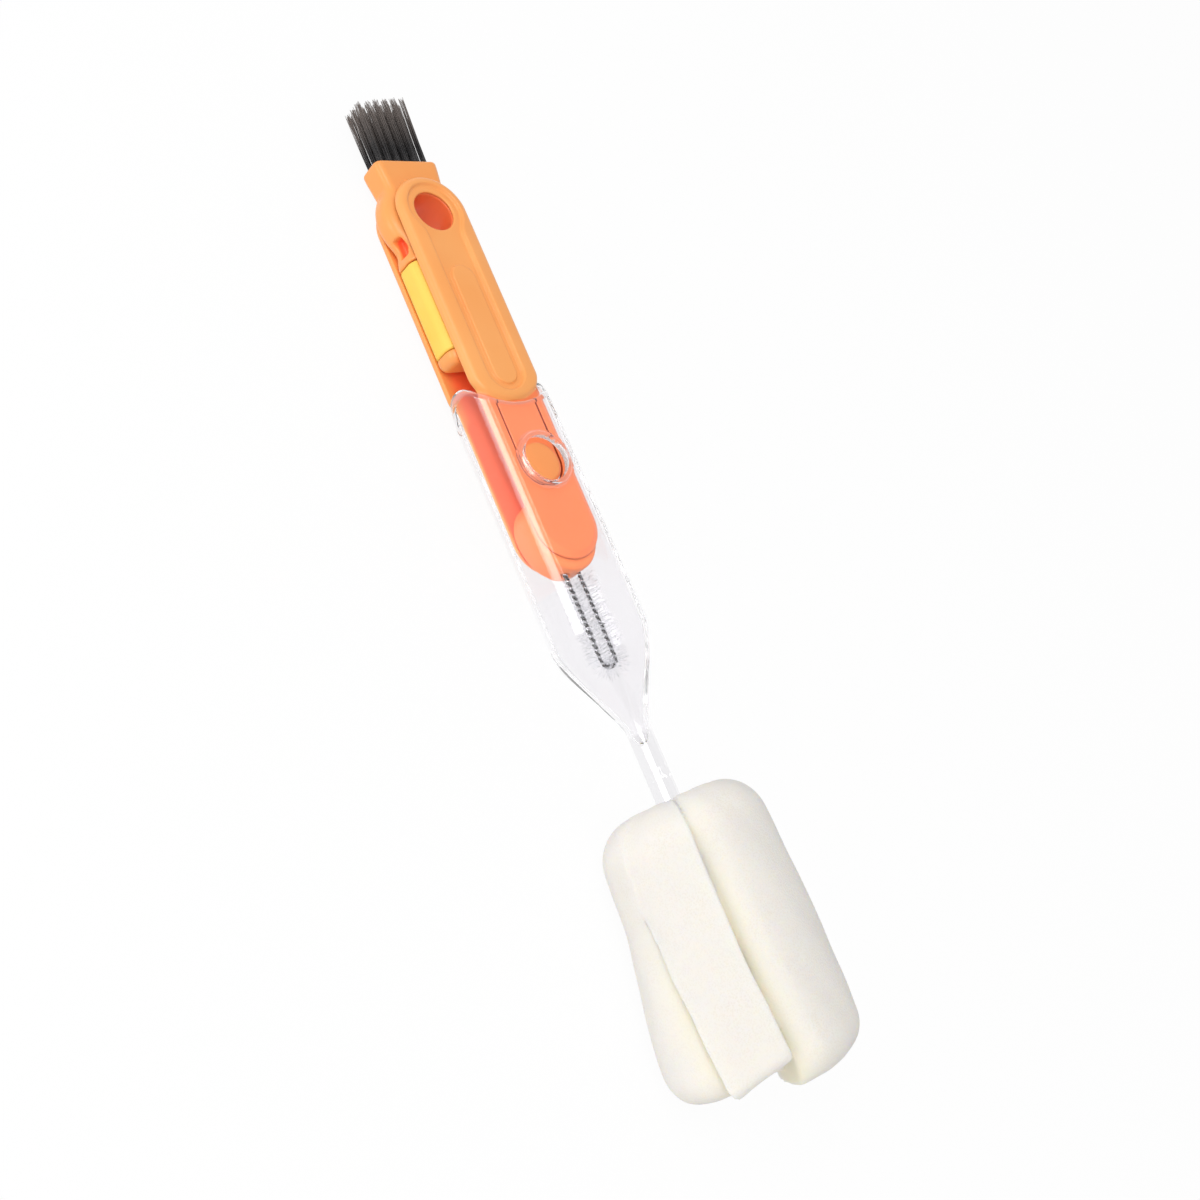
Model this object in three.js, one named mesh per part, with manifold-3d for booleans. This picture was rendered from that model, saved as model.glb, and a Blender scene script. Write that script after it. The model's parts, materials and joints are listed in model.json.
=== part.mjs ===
// Four-in-one cup brush: a folding two-plate tool with a crevice brush and a twisted-wire loop brush,
// latched into a clear hollow handle that carries a foam sponge head.
// Millimetres. Inside the brush, x runs from the hanging hole to the sponge, y runs across the front
// face and z out of it, with the origin at the hanging hole. The whole brush lies on its back.
import * as THREE from 'three';
import { mergeGeometries, mergeVertices } from 'three/addons/utils/BufferGeometryUtils.js';
import Module from 'manifold-3d';

// Driving dimensions: the two plates of the folding tool
const hangingHoleRadius = 6.15;
const plateHalfWidth = 11.4;
const plateFace = 8.0;
const plateEdgeHeight = 1.3;
const plateEdgeRoll = 2.6;
const gapHalf = 4.9;
const raisedEnd = 60.4;
const raisedEndBow = 7.4;
const insertHalfWidth = 10.4;
const insertFace = 6.6;
const insertEdgeHeight = 0.5;
const insertEdgeRoll = 2.8;
const loopPivotX = 97;
const channelDepth = 0.65;
const channelHalfWidth = 6.0;
const channelEnd = 57.2;
const channelSlope = 0.9;
const holeRingRadius = 7.9;
const plaqueStart = 18;
const plaqueEnd = 55.4;
const plaqueHalfWidth = 3.9;
const plaqueRise = 0.4;

// Driving dimensions: pivots and latch
const fit = 0.3;
const pivotTubeRadius = 8.2;
const pivotTubeHalf = 5.9;
const loopPinRadius = 3.2;
const loopPinHalf = 5.6;
const latchButtonX = 79;
const latchButtonRadius = 5.85;
const latchButtonFace = 7.05;
const tongueStart = 62.2;
const tongueHalfWidth = 6.4;
const tongueFace = 6.4;
const tongueEdge = 0.3;
const buttonEdge = 0.45;
const tongueSlit = 0.4;

// Driving dimensions: crevice brush
const armHalf = 4.6;
const armHalfWidth = 12.4;
const armHubRadius = 13.3;
const armHubRound = 3;
const armCorner = 3;
const neckHalfWidth = 11.2;
const neckHalf = 4.3;
const neckEnd = 7;
const blockTop = -18.5;
const blockFoot = -8.4;
const blockHalfWidth = 10.7;
const blockCorner = 2.2;
const blockTopRoll = 0.4;
const blockFootRoll = 1.6;
const gripStart = 13.8;
const gripEnd = 41.5;
const gripCorner = 3.4;
const tailEnd = 45.6;
const tailRoll = 2.8;
const coreHalfWidth = 9.2;
const coreHalf = 2.6;
const coreReach = 2;
const coreCorner = 1;
const armSlot = { from: 5.5, to: 11.2, depth: 3.2, low: -0.4, high: 2.8 };
const tuftRows = 3;
const tuftColumns = 6;
const tuftRowPitch = 2.5;
const tuftColumnPitch = 3.0;
const tuftRadius = 1.0;
const tuftHoleDepth = 4.8;
const tuftHoleRadius = 0.95;
const tuftLength = 22;
const tuftRagged = 1.5;
const raggedStep = { bristle: 2.3, column: 4.1, row: 1.7 };
const tuftFan = 1.14;
const tuftRing = 0.78;
const bristlesPerTuft = 9;
const bristleRadius = 0.21;
const bristleTaper = 0.7;
const bristleRoot = 0.5;
const stripThickness = 0.9;
const stripMargin = 0.4;
const anchorSize = { length: 1.6, width: 1.4, thickness: 0.3 };
const anchorLift = 0.4;

// Driving dimensions: twisted-wire loop brush
const loopHubRadius = 10.3;
const loopHubRound = 0.9;
const loopHubNose = 110;
const loopHalfPitch = 2.3;
const loopTip = 136.6;
const wireSocketEnd = 103;
const wireRadius = 0.33;
const wireTwistRadius = 0.6;
const wirePitch = 5.5;
const loopBristleLength = 4.2;
const loopBristleRadius = 0.13;
const loopBristleStations = 76;
const loopBristleStart = 0.6;
const loopMiddleGap = 0.7;
const loopCoreRadius = 0.14;

// Driving dimensions: clear handle and sponge head
const sleeveHalfWidth = 12.5;
const sleeveHalf = 8.57;
const sleeveWall = 1.35;
const sleeveSquareness = 5;
const innerSquareness = 6.5;
const roundSquareness = 2;
const rimFront = 61.5;
const rimFall = 9.1;
const rimCornerLift = 0.6;
const rimBand = 4;
const shoulderStart = 127;
const shoulderEnd = 155;
const stemRadius = 3.4;
const cavityEnd = 159;
const cavityEndRadius = 1.3;
const latchHoleRadius = 7.2;
const stemTip = 214;
const stemNose = { length: 2, radius: 2.4 };
const barbRadius = 4.5;
const barbLand = 1;
const barbLength = 4.5;
const barbPitch = 7;
const barbCount = 3;
const spongeTop = 173;
const spongeBelly = { x: 236, radius: 24.6 };
const spongeEnd = 252.4;
const spongeProfile = [
  [spongeTop, 13],
  [174.4, 17.6],
  [177.5, 20.6],
  [183, 22.2],
  [195, 23.2],
  [203, 23.7],
  [213, 24.1],
  [225, 24.5],
  [spongeBelly.x, spongeBelly.radius],
  [243, 23.2],
  [247.6, 20.2],
  [250.6, 15.5],
  [spongeEnd, 10],
];
const spongeSag = { y: -2.0, z: -1.0 };
const petalRound = { depth: 0.07, power: 5 };
const slitFloor = 9;
const slitHalfAngle = 3.2;
const slitShut = 0.08;
const slitPart = { before: 6, after: 10 };
const slitLeanFrom = 212;
const slits = [
  { angle: 35, lean: -0.18, opensAt: spongeTop },
  { angle: 96, lean: -0.5, opensAt: 203 },
  { angle: 180, lean: 0, opensAt: spongeTop },
  { angle: 251, lean: 0, opensAt: spongeTop },
  { angle: 323, lean: 0, opensAt: spongeTop },
];

// Finishes
const orange = new THREE.MeshStandardMaterial({ color: 0xf79a55, roughness: 0.42, metalness: 0 });
const deepOrange = new THREE.MeshStandardMaterial({ color: 0xf28a48, roughness: 0.45, metalness: 0 });
const yellow = new THREE.MeshStandardMaterial({ color: 0xfed04a, roughness: 0.6, metalness: 0 });
const blackNylon = new THREE.MeshStandardMaterial({ color: 0x3f3c3a, roughness: 0.55, metalness: 0 });
const clearNylon = new THREE.MeshStandardMaterial({ color: 0xf2f4f6, roughness: 0.3, metalness: 0 });
const steel = new THREE.MeshStandardMaterial({ color: 0xb9bcc0, roughness: 0.28, metalness: 1 });
const brass = new THREE.MeshStandardMaterial({ color: 0xc9a65a, roughness: 0.35, metalness: 1 });
const foam = new THREE.MeshStandardMaterial({ color: 0xf8f2ea, roughness: 0.95, metalness: 0 });
const clear = new THREE.MeshStandardMaterial({
  color: 0xf4f8fb,
  roughness: 0.08,
  metalness: 0,
  transparent: true,
  opacity: 0.35,
});

const wasm = await Module();
wasm.setup();

const degrees = THREE.MathUtils.degToRad;
const blend = THREE.MathUtils.lerp;
const smooth = THREE.MathUtils.smoothstep;

// A closed surface from points and triangles, turned so that its faces point out
function solid(points, triangles) {
  let volume = 0;
  for (const [a, b, c] of triangles) {
    volume += points[a].dot(new THREE.Vector3().crossVectors(points[b], points[c]));
  }
  const facing = volume > 0 ? triangles : triangles.map(([a, b, c]) => [a, c, b]);
  const geometry = new THREE.BufferGeometry().setFromPoints(points);
  geometry.setIndex(facing.flat());
  return geometry;
}

function centreOf(ring) {
  const centre = new THREE.Vector3();
  for (const point of ring) {
    centre.addScaledVector(point, 1 / ring.length);
  }
  return centre;
}

// Skin over a row of rings with equal counts of points, closed at both ends
function loft(rings) {
  const count = rings[0].length;
  const points = rings.flat();
  const triangles = [];
  for (let i = 0; i + 1 < rings.length; i += 1) {
    for (let j = 0; j < count; j += 1) {
      const a = i * count + j;
      const b = i * count + ((j + 1) % count);
      triangles.push([a, b, a + count], [b, b + count, a + count]);
    }
  }
  const lastRing = (rings.length - 1) * count;
  if (count === 3) {
    triangles.push([0, 2, 1], [lastRing, lastRing + 1, lastRing + 2]);
    return solid(points, triangles);
  }
  const first = points.push(centreOf(rings[0])) - 1;
  const last = points.push(centreOf(rings.at(-1))) - 1;
  for (let j = 0; j < count; j += 1) {
    const next = (j + 1) % count;
    triangles.push([first, next, j], [last, lastRing + j, lastRing + next]);
  }
  return solid(points, triangles);
}

function toManifold(geometry) {
  const bare = geometry.clone();
  bare.deleteAttribute('normal');
  bare.deleteAttribute('uv');
  const merged = mergeVertices(bare, 1e-4);
  return new wasm.Manifold(new wasm.Mesh({
    numProp: 3,
    vertProperties: new Float32Array(merged.attributes.position.array),
    triVerts: new Uint32Array(merged.index.array),
  }));
}

function toGeometry(manifold) {
  const mesh = manifold.getMesh();
  const geometry = new THREE.BufferGeometry();
  geometry.setAttribute('position', new THREE.BufferAttribute(new Float32Array(mesh.vertProperties), 3));
  geometry.setIndex(new THREE.BufferAttribute(new Uint32Array(mesh.triVerts), 1));
  return geometry;
}

function join(first, ...others) {
  return toGeometry(others.reduce((body, other) => body.add(toManifold(other)), toManifold(first)));
}

function cut(first, ...tools) {
  return toGeometry(tools.reduce((body, tool) => body.subtract(toManifold(tool)), toManifold(first)));
}

// Slab of one outline, with an inset at each level of z
function slab(outline, levels) {
  return loft(levels.map(([z, inset]) => outline(inset).map(([x, y]) => new THREE.Vector3(x, y, z))));
}

// Levels of an edge that rolls over from an upright wall to a flat face
function rolledEdge(wallTop, face, inset, steps = 4) {
  const levels = [];
  for (let i = 0; i <= steps; i += 1) {
    const angle = (i / steps) * Math.PI / 2;
    levels.push([wallTop + (face - wallTop) * Math.sin(angle), inset * (1 - Math.cos(angle))]);
  }
  return levels;
}

// Levels of a slab whose two edges are rounded alike
function roundedSlab(half, radius) {
  const upper = rolledEdge(half - radius, half, radius, 3);
  return [...upper.map(([z, inset]) => [-z, inset]).reverse(), ...upper];
}

function arc(x, y, radius, from, to, steps) {
  const points = [];
  for (let i = 0; i <= steps; i += 1) {
    const angle = degrees(blend(from, to, i / steps));
    points.push([x + radius * Math.cos(angle), y + radius * Math.sin(angle)]);
  }
  return points;
}

const disc = (x, radius, sides = 32) => (inset) => arc(x, 0, radius - inset, 0, 360, sides).slice(1);

const capsule = (from, to, halfWidth) => (inset) => [
  ...arc(from, 0, halfWidth - inset, 90, 270, 12),
  ...arc(to, 0, halfWidth - inset, -90, 90, 12),
];

function peg(x, y, radius, z0, z1, sides = 24, topRadius = radius) {
  const geometry = new THREE.CylinderGeometry(topRadius, radius, z1 - z0, sides);
  geometry.rotateX(Math.PI / 2);
  geometry.translate(x, y, (z0 + z1) / 2);
  return geometry;
}

function rod(y, z, radius, x0, x1, sides = 6) {
  const geometry = new THREE.CylinderGeometry(radius, radius, x1 - x0, sides);
  geometry.rotateZ(Math.PI / 2);
  geometry.translate((x0 + x1) / 2, y, z);
  return geometry;
}

function box(x0, x1, y0, y1, z0, z1) {
  const geometry = new THREE.BoxGeometry(x1 - x0, y1 - y0, z1 - z0);
  geometry.translate((x0 + x1) / 2, (y0 + y1) / 2, (z0 + z1) / 2);
  return geometry;
}

// Bar along x with a rounded rectangular section at each station
function bar(stations, corner) {
  const corners = [[1, 1, 0], [-1, 1, 90], [-1, -1, 180], [1, -1, 270]];
  return loft(stations.map(([x, halfWidth, half]) => {
    const radius = Math.min(corner, halfWidth - 0.1, half - 0.1);
    const points = corners.flatMap(([sy, sz, from]) =>
      arc(sy * (halfWidth - radius), sz * (half - radius), radius, from, from + 90, 5));
    return points.map(([y, z]) => new THREE.Vector3(x, y, z));
  }));
}

// Outline of the raised half of a plate: round about the hanging hole, bowed where it meets the handle
function raisedOutline(inset) {
  const halfWidth = plateHalfWidth - inset;
  const bow = (y) => raisedEnd - inset - raisedEndBow * (y / plateHalfWidth) ** 2;
  const end = [];
  for (let i = 0; i <= 12; i += 1) {
    const y = blend(-halfWidth, halfWidth, i / 12);
    end.push([bow(y), y]);
  }
  return [...arc(0, 0, halfWidth, 90, 270, 24), ...end];
}

// Outline of the thinner half that slides into the handle
function insertOutline(inset) {
  const halfWidth = insertHalfWidth - inset;
  const start = raisedEnd - raisedEndBow - plateEdgeRoll * 2;
  return [[start, halfWidth], [start, -halfWidth], ...arc(loopPivotX, 0, halfWidth, -90, 90, 20)];
}

// One plate without its own front or back features, with its outer face towards +z
function plateBlank() {
  const raised = slab(raisedOutline, [
    [gapHalf, 0],
    ...rolledEdge(gapHalf + plateEdgeHeight, plateFace, plateEdgeRoll),
  ]);
  const insert = slab(insertOutline, [
    [gapHalf, 0],
    ...rolledEdge(gapHalf + insertEdgeHeight, insertFace, insertEdgeRoll),
  ]);
  const ringFloor = plateFace - channelDepth;
  const ringTop = plateFace + channelDepth;
  const ringSpread = holeRingRadius + channelSlope;
  return cut(
    join(raised, insert),
    peg(0, 0, hangingHoleRadius, gapHalf - 1, plateFace + 1, 32),
    peg(0, 0, holeRingRadius - channelSlope, ringFloor, ringTop, 32, ringSpread),
    peg(0, 0, pivotTubeRadius + fit, gapHalf - 1, pivotTubeHalf + fit, 32),
    peg(loopPivotX, 0, loopPinRadius + fit, gapHalf - 1, loopPinHalf + fit, 20),
  );
}

function tongueOutline(grow) {
  const halfWidth = tongueHalfWidth + grow;
  const start = tongueStart - grow;
  return [[start, halfWidth], [start, -halfWidth], ...arc(latchButtonX, 0, halfWidth, -90, 90, 18)];
}

// Front plate: shallow channel from the hanging hole, bare plaque in it, window for the latch tongue
function frontPlate() {
  const floor = plateFace - channelDepth;
  const channel = slab(capsule(0, channelEnd - channelHalfWidth, channelHalfWidth), [
    [floor, channelSlope],
    [plateFace + channelDepth, -channelSlope],
  ]);
  const plaqueOutline = capsule(plaqueStart + plaqueHalfWidth, plaqueEnd - plaqueHalfWidth, plaqueHalfWidth);
  const plaque = slab(plaqueOutline, [
    [floor - plaqueRise, 0],
    ...rolledEdge(floor, floor + plaqueRise, plaqueRise, 2),
  ]);
  const window = slab(() => tongueOutline(tongueSlit), [[gapHalf - 1, 0], [plateFace, 0]]);
  return cut(join(cut(plateBlank(), channel), plaque), window);
}

// Back plate: the blank turned over
function backPlate() {
  const geometry = plateBlank();
  geometry.rotateX(Math.PI);
  return geometry;
}

// Springy tongue of the front plate with the round release button near its free end
function latchTongue() {
  const tongue = slab((inset) => tongueOutline(-inset), [
    [gapHalf, 0],
    ...rolledEdge(tongueFace - tongueEdge, tongueFace, tongueEdge, 2),
  ]);
  const button = slab(disc(latchButtonX, latchButtonRadius), [
    [(gapHalf + tongueFace) / 2, 0],
    ...rolledEdge(latchButtonFace - buttonEdge, latchButtonFace, buttonEdge, 3),
  ]);
  return join(tongue, button);
}

function pivotTube() {
  const profile = [
    [hangingHoleRadius, -pivotTubeHalf],
    [pivotTubeRadius, -pivotTubeHalf],
    [pivotTubeRadius, pivotTubeHalf],
    [hangingHoleRadius, pivotTubeHalf],
    [hangingHoleRadius, -pivotTubeHalf],
  ];
  const geometry = new THREE.LatheGeometry(profile.map(([r, h]) => new THREE.Vector2(r, h)), 32);
  geometry.rotateX(Math.PI / 2);
  return geometry;
}

const tuftCentre = (row, column) => ({
  y: (column - (tuftColumns - 1) / 2) * tuftColumnPitch,
  z: (row - (tuftRows - 1) / 2) * tuftRowPitch,
});

function eachTuft(make) {
  const made = [];
  for (let row = 0; row < tuftRows; row += 1) {
    for (let column = 0; column < tuftColumns; column += 1) {
      made.push(make(tuftCentre(row, column), row, column));
    }
  }
  return made;
}

const stripHalfLength = ((tuftColumns - 1) / 2) * tuftColumnPitch + tuftRadius + stripMargin;
const stripHalfWidth = tuftRowPitch / 2 - fit / 2;

// Rectangular waist that the grip is moulded round
function gripWaist(clearance) {
  const section = [coreHalfWidth + clearance, coreHalf + clearance];
  return bar([[gripStart - coreReach, ...section], [gripEnd + coreReach, ...section]], coreCorner);
}

// Brush arm: tufted block, round hub on the pivot tube, and a tail with a waist for the grip
function brushArm() {
  const block = bar([
    ...rolledEdge(blockTop + blockTopRoll, blockTop, blockTopRoll, 2).reverse(),
    ...rolledEdge(blockFoot - blockFootRoll, blockFoot, blockFootRoll, 3),
  ].map(([x, inset]) => [x, blockHalfWidth - inset, armHalf - inset]), blockCorner);
  const hub = slab(disc(0, armHubRadius, 40), roundedSlab(armHalf, armHubRound));
  const neck = bar([
    [0, neckHalfWidth, neckHalf],
    [neckEnd, neckHalfWidth, neckHalf],
    [gripStart - fit, armHalfWidth, armHalf],
  ], armCorner);
  const tail = bar([
    [gripEnd + fit, 0],
    ...rolledEdge(tailEnd - tailRoll, tailEnd, tailRoll, 3),
  ].map(([x, inset]) => [x, armHalfWidth - inset, armHalf - inset]), armCorner);
  const pocketFloor = blockTop + stripThickness + fit;
  const pocketHalf = stripHalfWidth + tuftRowPitch + fit;
  const pocketHalfLength = stripHalfLength + fit;
  const pocket = box(blockTop - 1, pocketFloor, -pocketHalfLength, pocketHalfLength, -pocketHalf, pocketHalf);
  const holes = eachTuft(({ y, z }) =>
    rod(y, z, tuftHoleRadius, pocketFloor - fit, pocketFloor + tuftHoleDepth));
  const slots = [-1, 1].map((side) => {
    const edges = [side * (armHalfWidth + 1), side * (armHalfWidth - armSlot.depth)].sort((a, b) => a - b);
    return box(armSlot.from, armSlot.to, edges[0], edges[1], armSlot.low, armSlot.high);
  });
  const bore = peg(0, 0, pivotTubeRadius + fit, -armHalf - 1, armHalf + 1, 32);
  return cut(join(block, hub, neck, gripWaist(0), tail), bore, pocket, ...slots, ...holes);
}

// Soft grip moulded round the tail's waist
function gripSleeve() {
  const grip = bar([[gripStart, armHalfWidth, armHalf], [gripEnd, armHalfWidth, armHalf]], gripCorner);
  return cut(grip, gripWaist(fit));
}

// One three-sided bristle from base to tip
function bristle(base, tip, radius, taper) {
  const along = new THREE.Vector3().subVectors(tip, base).normalize();
  const across = new THREE.Vector3(0.37, 0.61, 0.7).cross(along).normalize();
  const third = new THREE.Vector3().crossVectors(along, across);
  const ring = (centre, size) => [0, 120, 240].map((angle) => centre.clone()
    .addScaledVector(across, size * Math.cos(degrees(angle)))
    .addScaledVector(third, size * Math.sin(degrees(angle))));
  return loft([ring(base, radius), ring(tip, radius * taper)]);
}

// Row of tufts: fanned bristles, one in the middle of each tuft and the rest round it, in a thin strip
function tuftRow(row) {
  const bristles = [];
  for (let column = 0; column < tuftColumns; column += 1) {
    const centre = tuftCentre(row, column);
    for (let k = 0; k < bristlesPerTuft; k += 1) {
      const ring = k === 0 ? 0 : tuftRadius * tuftRing;
      const angle = (k / (bristlesPerTuft - 1)) * 2 * Math.PI;
      const y = centre.y + ring * Math.cos(angle);
      const z = centre.z + ring * Math.sin(angle);
      const uneven = Math.sin(k * raggedStep.bristle + column * raggedStep.column + row * raggedStep.row);
      const tipX = blockTop - tuftLength - tuftRagged * uneven;
      const base = new THREE.Vector3(blockTop + bristleRoot, y, z);
      const tip = new THREE.Vector3(tipX, y * tuftFan, z * tuftFan);
      bristles.push(bristle(base, tip, bristleRadius, bristleTaper));
    }
  }
  const { z } = tuftCentre(row, 0);
  const strip = box(
    blockTop,
    blockTop + stripThickness,
    -stripHalfLength,
    stripHalfLength,
    z - stripHalfWidth,
    z + stripHalfWidth,
  );
  return join(strip, mergeGeometries(bristles));
}

// Flat wire anchor that pins one tuft in its hole
function tuftAnchor({ y, z }) {
  const foot = blockTop + stripThickness + tuftHoleDepth - anchorLift;
  const head = foot - anchorSize.length;
  const halfWidth = anchorSize.width / 2;
  const halfThickness = anchorSize.thickness / 2;
  return box(head, foot, y - halfWidth, y + halfWidth, z - halfThickness, z + halfThickness);
}

// Hub of the loop brush: round about its pin, drawn out to a nose where the wires leave
function loopHub() {
  const outlineSides = 40;
  const outline = (inset) => {
    const points = [];
    for (let i = 0; i < outlineSides; i += 1) {
      const angle = (i / outlineSides) * 2 * Math.PI;
      const reach = Math.cos(angle) > 0 ? loopHubNose - loopPivotX : loopHubRadius;
      points.push([
        loopPivotX + (reach - inset) * Math.cos(angle),
        (loopHubRadius - inset) * Math.sin(angle),
      ]);
    }
    return points;
  };
  const socketRadius = wireTwistRadius + wireRadius + fit;
  const sockets = [-1, 1].map((side) =>
    rod(side * loopHalfPitch, 0, socketRadius, wireSocketEnd - fit, loopHubNose + 1, 12));
  const bore = peg(loopPivotX, 0, loopPinRadius + fit, -armHalf - 1, armHalf + 1, 20);
  return cut(slab(outline, roundedSlab(armHalf, loopHubRound)), bore, ...sockets);
}

// Middle line of the wire loop: out along one leg, round the tip and back along the other
const loopBend = loopTip - loopHalfPitch;
const loopLeg = loopBend - wireSocketEnd;
const loopLength = 2 * loopLeg + Math.PI * loopHalfPitch;

function loopAt(distance) {
  const turn = THREE.MathUtils.clamp((distance - loopLeg) / loopHalfPitch, 0, Math.PI);
  const outward = new THREE.Vector3(Math.sin(turn), -Math.cos(turn), 0);
  const point = outward.clone().multiplyScalar(loopHalfPitch);
  const alongLeg = Math.min(distance, loopLength - distance);
  point.x += wireSocketEnd + Math.min(alongLeg, loopLeg);
  return { point, outward };
}

const twistAt = (distance) => (distance / wirePitch) * 2 * Math.PI;

// One of the two wires twisted round the loop's middle line
class TwistedWire extends THREE.Curve {
  constructor(phase) {
    super();
    this.phase = phase;
  }

  getPoint(t, target = new THREE.Vector3()) {
    const distance = t * loopLength;
    const { point, outward } = loopAt(distance);
    const angle = twistAt(distance) + this.phase;
    target.copy(point).addScaledVector(outward, wireTwistRadius * Math.cos(angle));
    target.z += wireTwistRadius * Math.sin(angle);
    return target;
  }
}

function twistedWire(phase) {
  const section = new THREE.Shape(arc(0, 0, wireRadius, 0, 288, 4).map(([x, y]) => new THREE.Vector2(x, y)));
  const steps = Math.round((loopLength / wirePitch) * 8);
  const extrudePath = new TwistedWire(phase);
  return new THREE.ExtrudeGeometry(section, { steps, extrudePath, bevelEnabled: false });
}

// Least gap between a twisted wire and itself, past the reach of a neighbouring turn's own length
function leastGap(phase) {
  const points = new TwistedWire(phase).getSpacedPoints(600);
  const step = points[0].distanceTo(points[1]);
  const reach = Math.ceil((wirePitch * 0.75) / step);
  let gap = Infinity;
  for (let i = 0; i < points.length; i += 1) {
    for (let j = i + reach; j < points.length; j += 1) {
      gap = Math.min(gap, points[i].distanceTo(points[j]) - 2 * wireRadius);
    }
  }
  return gap;
}

// Clear bristles held by their middles between the twisted wires, shorter towards the inside of the loop
function loopBristles() {
  const corePath = [];
  for (let i = 0; i <= 12; i += 1) {
    corePath.push(loopLeg + (i / 12) * Math.PI * loopHalfPitch);
  }
  const core = loft([fit, ...corePath, loopLength - fit].map((distance) => {
    const { point, outward } = loopAt(distance);
    return [0, 90, 180, 270].map((angle) => point.clone()
      .addScaledVector(outward, loopCoreRadius * Math.cos(degrees(angle)))
      .add(new THREE.Vector3(0, 0, loopCoreRadius * Math.sin(degrees(angle)))));
  }));
  const start = loopHubNose - wireSocketEnd + loopBristleStart;
  const bristles = [];
  for (let i = 0; i < loopBristleStations; i += 1) {
    const distance = blend(start, loopLength - start, i / (loopBristleStations - 1));
    const { point, outward } = loopAt(distance);
    const angle = twistAt(distance) + Math.PI / 2;
    const direction = outward.clone().multiplyScalar(Math.cos(angle));
    direction.z += Math.sin(angle);
    const tips = [1, -1].map((side) => {
      const inward = -side * Math.cos(angle);
      const room = inward > 0 ? (loopHalfPitch - loopMiddleGap) / inward : loopBristleLength;
      return point.clone().addScaledVector(direction, side * Math.min(room, loopBristleLength));
    });
    bristles.push(bristle(tips[0], tips[1], loopBristleRadius, 1));
  }
  return bristles.reduce((body, one) => body.add(toManifold(one)), toManifold(core));
}

// Rounded rectangular ring of the clear handle, going over to a circle along the shoulder
const ringSides = 36;

function sleeveRing(halfWidth, half, squareness, along) {
  const points = [];
  for (let i = 0; i < ringSides; i += 1) {
    const angle = (i / ringSides) * 2 * Math.PI;
    const power = 2 / squareness;
    const y = halfWidth * Math.sign(Math.cos(angle)) * Math.abs(Math.cos(angle)) ** power;
    const z = half * Math.sign(Math.sin(angle)) * Math.abs(Math.sin(angle)) ** power;
    points.push(new THREE.Vector3(along(y / halfWidth, z / half), y, z));
  }
  return points;
}

// Clear handle: hollow sleeve with a wavy mouth, drawn in by an ogee shoulder to a barbed stem
function clearHandle() {
  const rim = (across, out) => rimFront - rimFall * across ** 2 * (1 - rimCornerLift * out ** 2);
  const narrowing = (x) => smooth(x, shoulderStart, shoulderEnd);
  const outside = (x) => [
    blend(sleeveHalfWidth, stemRadius, narrowing(x)),
    blend(sleeveHalf, stemRadius, narrowing(x)),
    blend(sleeveSquareness, roundSquareness, narrowing(x)),
  ];
  const inside = (x) => {
    const [halfWidth, half] = outside(x);
    const wall = blend(sleeveWall, stemRadius - cavityEndRadius, smooth(x, shoulderStart, cavityEnd));
    return [halfWidth - wall, half - wall, blend(innerSquareness, roundSquareness, narrowing(x))];
  };
  const at = (section, x) => sleeveRing(...section(x), () => x);
  const shoulderSteps = 8;
  const shoulder = [];
  for (let i = 0; i <= shoulderSteps; i += 1) {
    shoulder.push(blend(shoulderEnd, shoulderStart, i / shoulderSteps));
  }
  const barbs = [];
  for (let i = 0; i < barbCount; i += 1) {
    const foot = stemTip - stemNose.length - i * barbPitch;
    barbs.push([foot, barbRadius], [foot - barbLand, barbRadius], [foot - barbLength, stemRadius]);
  }
  const stem = [[stemTip, stemNose.radius], ...barbs];
  const middle = (rimFront + shoulderStart) / 2;
  const [rimWidth, rimHalf, rimSquareness] = outside(rimFront);
  const lip = sleeveWall / 2;
  const handle = loft([
    ...stem.map(([x, radius]) => sleeveRing(radius, radius, roundSquareness, () => x)),
    ...shoulder.map((x) => at(outside, x)),
    at(outside, middle),
    at(outside, rimFront + rimBand),
    sleeveRing(rimWidth, rimHalf, rimSquareness, rim),
    sleeveRing(rimWidth - lip, rimHalf - lip, rimSquareness, (a, o) => rim(a, o) - lip / 2),
    sleeveRing(...inside(rimFront), rim),
    at(inside, rimFront + rimBand),
    at(inside, middle),
    ...shoulder.slice().reverse().map((x) => at(inside, x)),
    at(inside, cavityEnd),
  ]);
  return cut(handle, peg(latchButtonX, 0, latchHoleRadius, gapHalf, sleeveHalf + sleeveWall, 28));
}

// Sponge head: petals parted by deep slits, flared and leaning a little towards its free end
const petalPoints = 8;

function spongeRing(x, radius, parted) {
  const down = parted ? ((x - spongeTop) / (spongeEnd - spongeTop)) ** 2 : 0;
  const angleOf = (k) => {
    const { angle, lean } = slits[k % slits.length];
    return angle + lean * (x - slitLeanFrom) + (k >= slits.length ? 360 : 0);
  };
  const openingOf = (k) => {
    const { opensAt } = slits[k % slits.length];
    return blend(slitShut, 1, smooth(x, opensAt - slitPart.before, opensAt + slitPart.after));
  };
  const points = [];
  const put = (angle, r) => points.push(new THREE.Vector3(
    x,
    -r * Math.sin(degrees(angle)) + spongeSag.y * down,
    r * Math.cos(degrees(angle)) + spongeSag.z * down,
  ));
  for (let k = 0; k < slits.length; k += 1) {
    const floor = parted ? blend(radius, Math.min(slitFloor, radius), openingOf(k)) : radius;
    put(angleOf(k), floor);
    const from = angleOf(k) + slitHalfAngle * (parted ? openingOf(k) : 1);
    const to = angleOf(k + 1) - slitHalfAngle * (parted ? openingOf(k + 1) : 1);
    for (let i = 0; i < petalPoints; i += 1) {
      const u = i / (petalPoints - 1);
      const round = parted ? petalRound.depth * Math.abs(2 * u - 1) ** petalRound.power : 0;
      put(blend(from, to, u), radius * (1 - round));
    }
  }
  return points;
}

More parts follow.
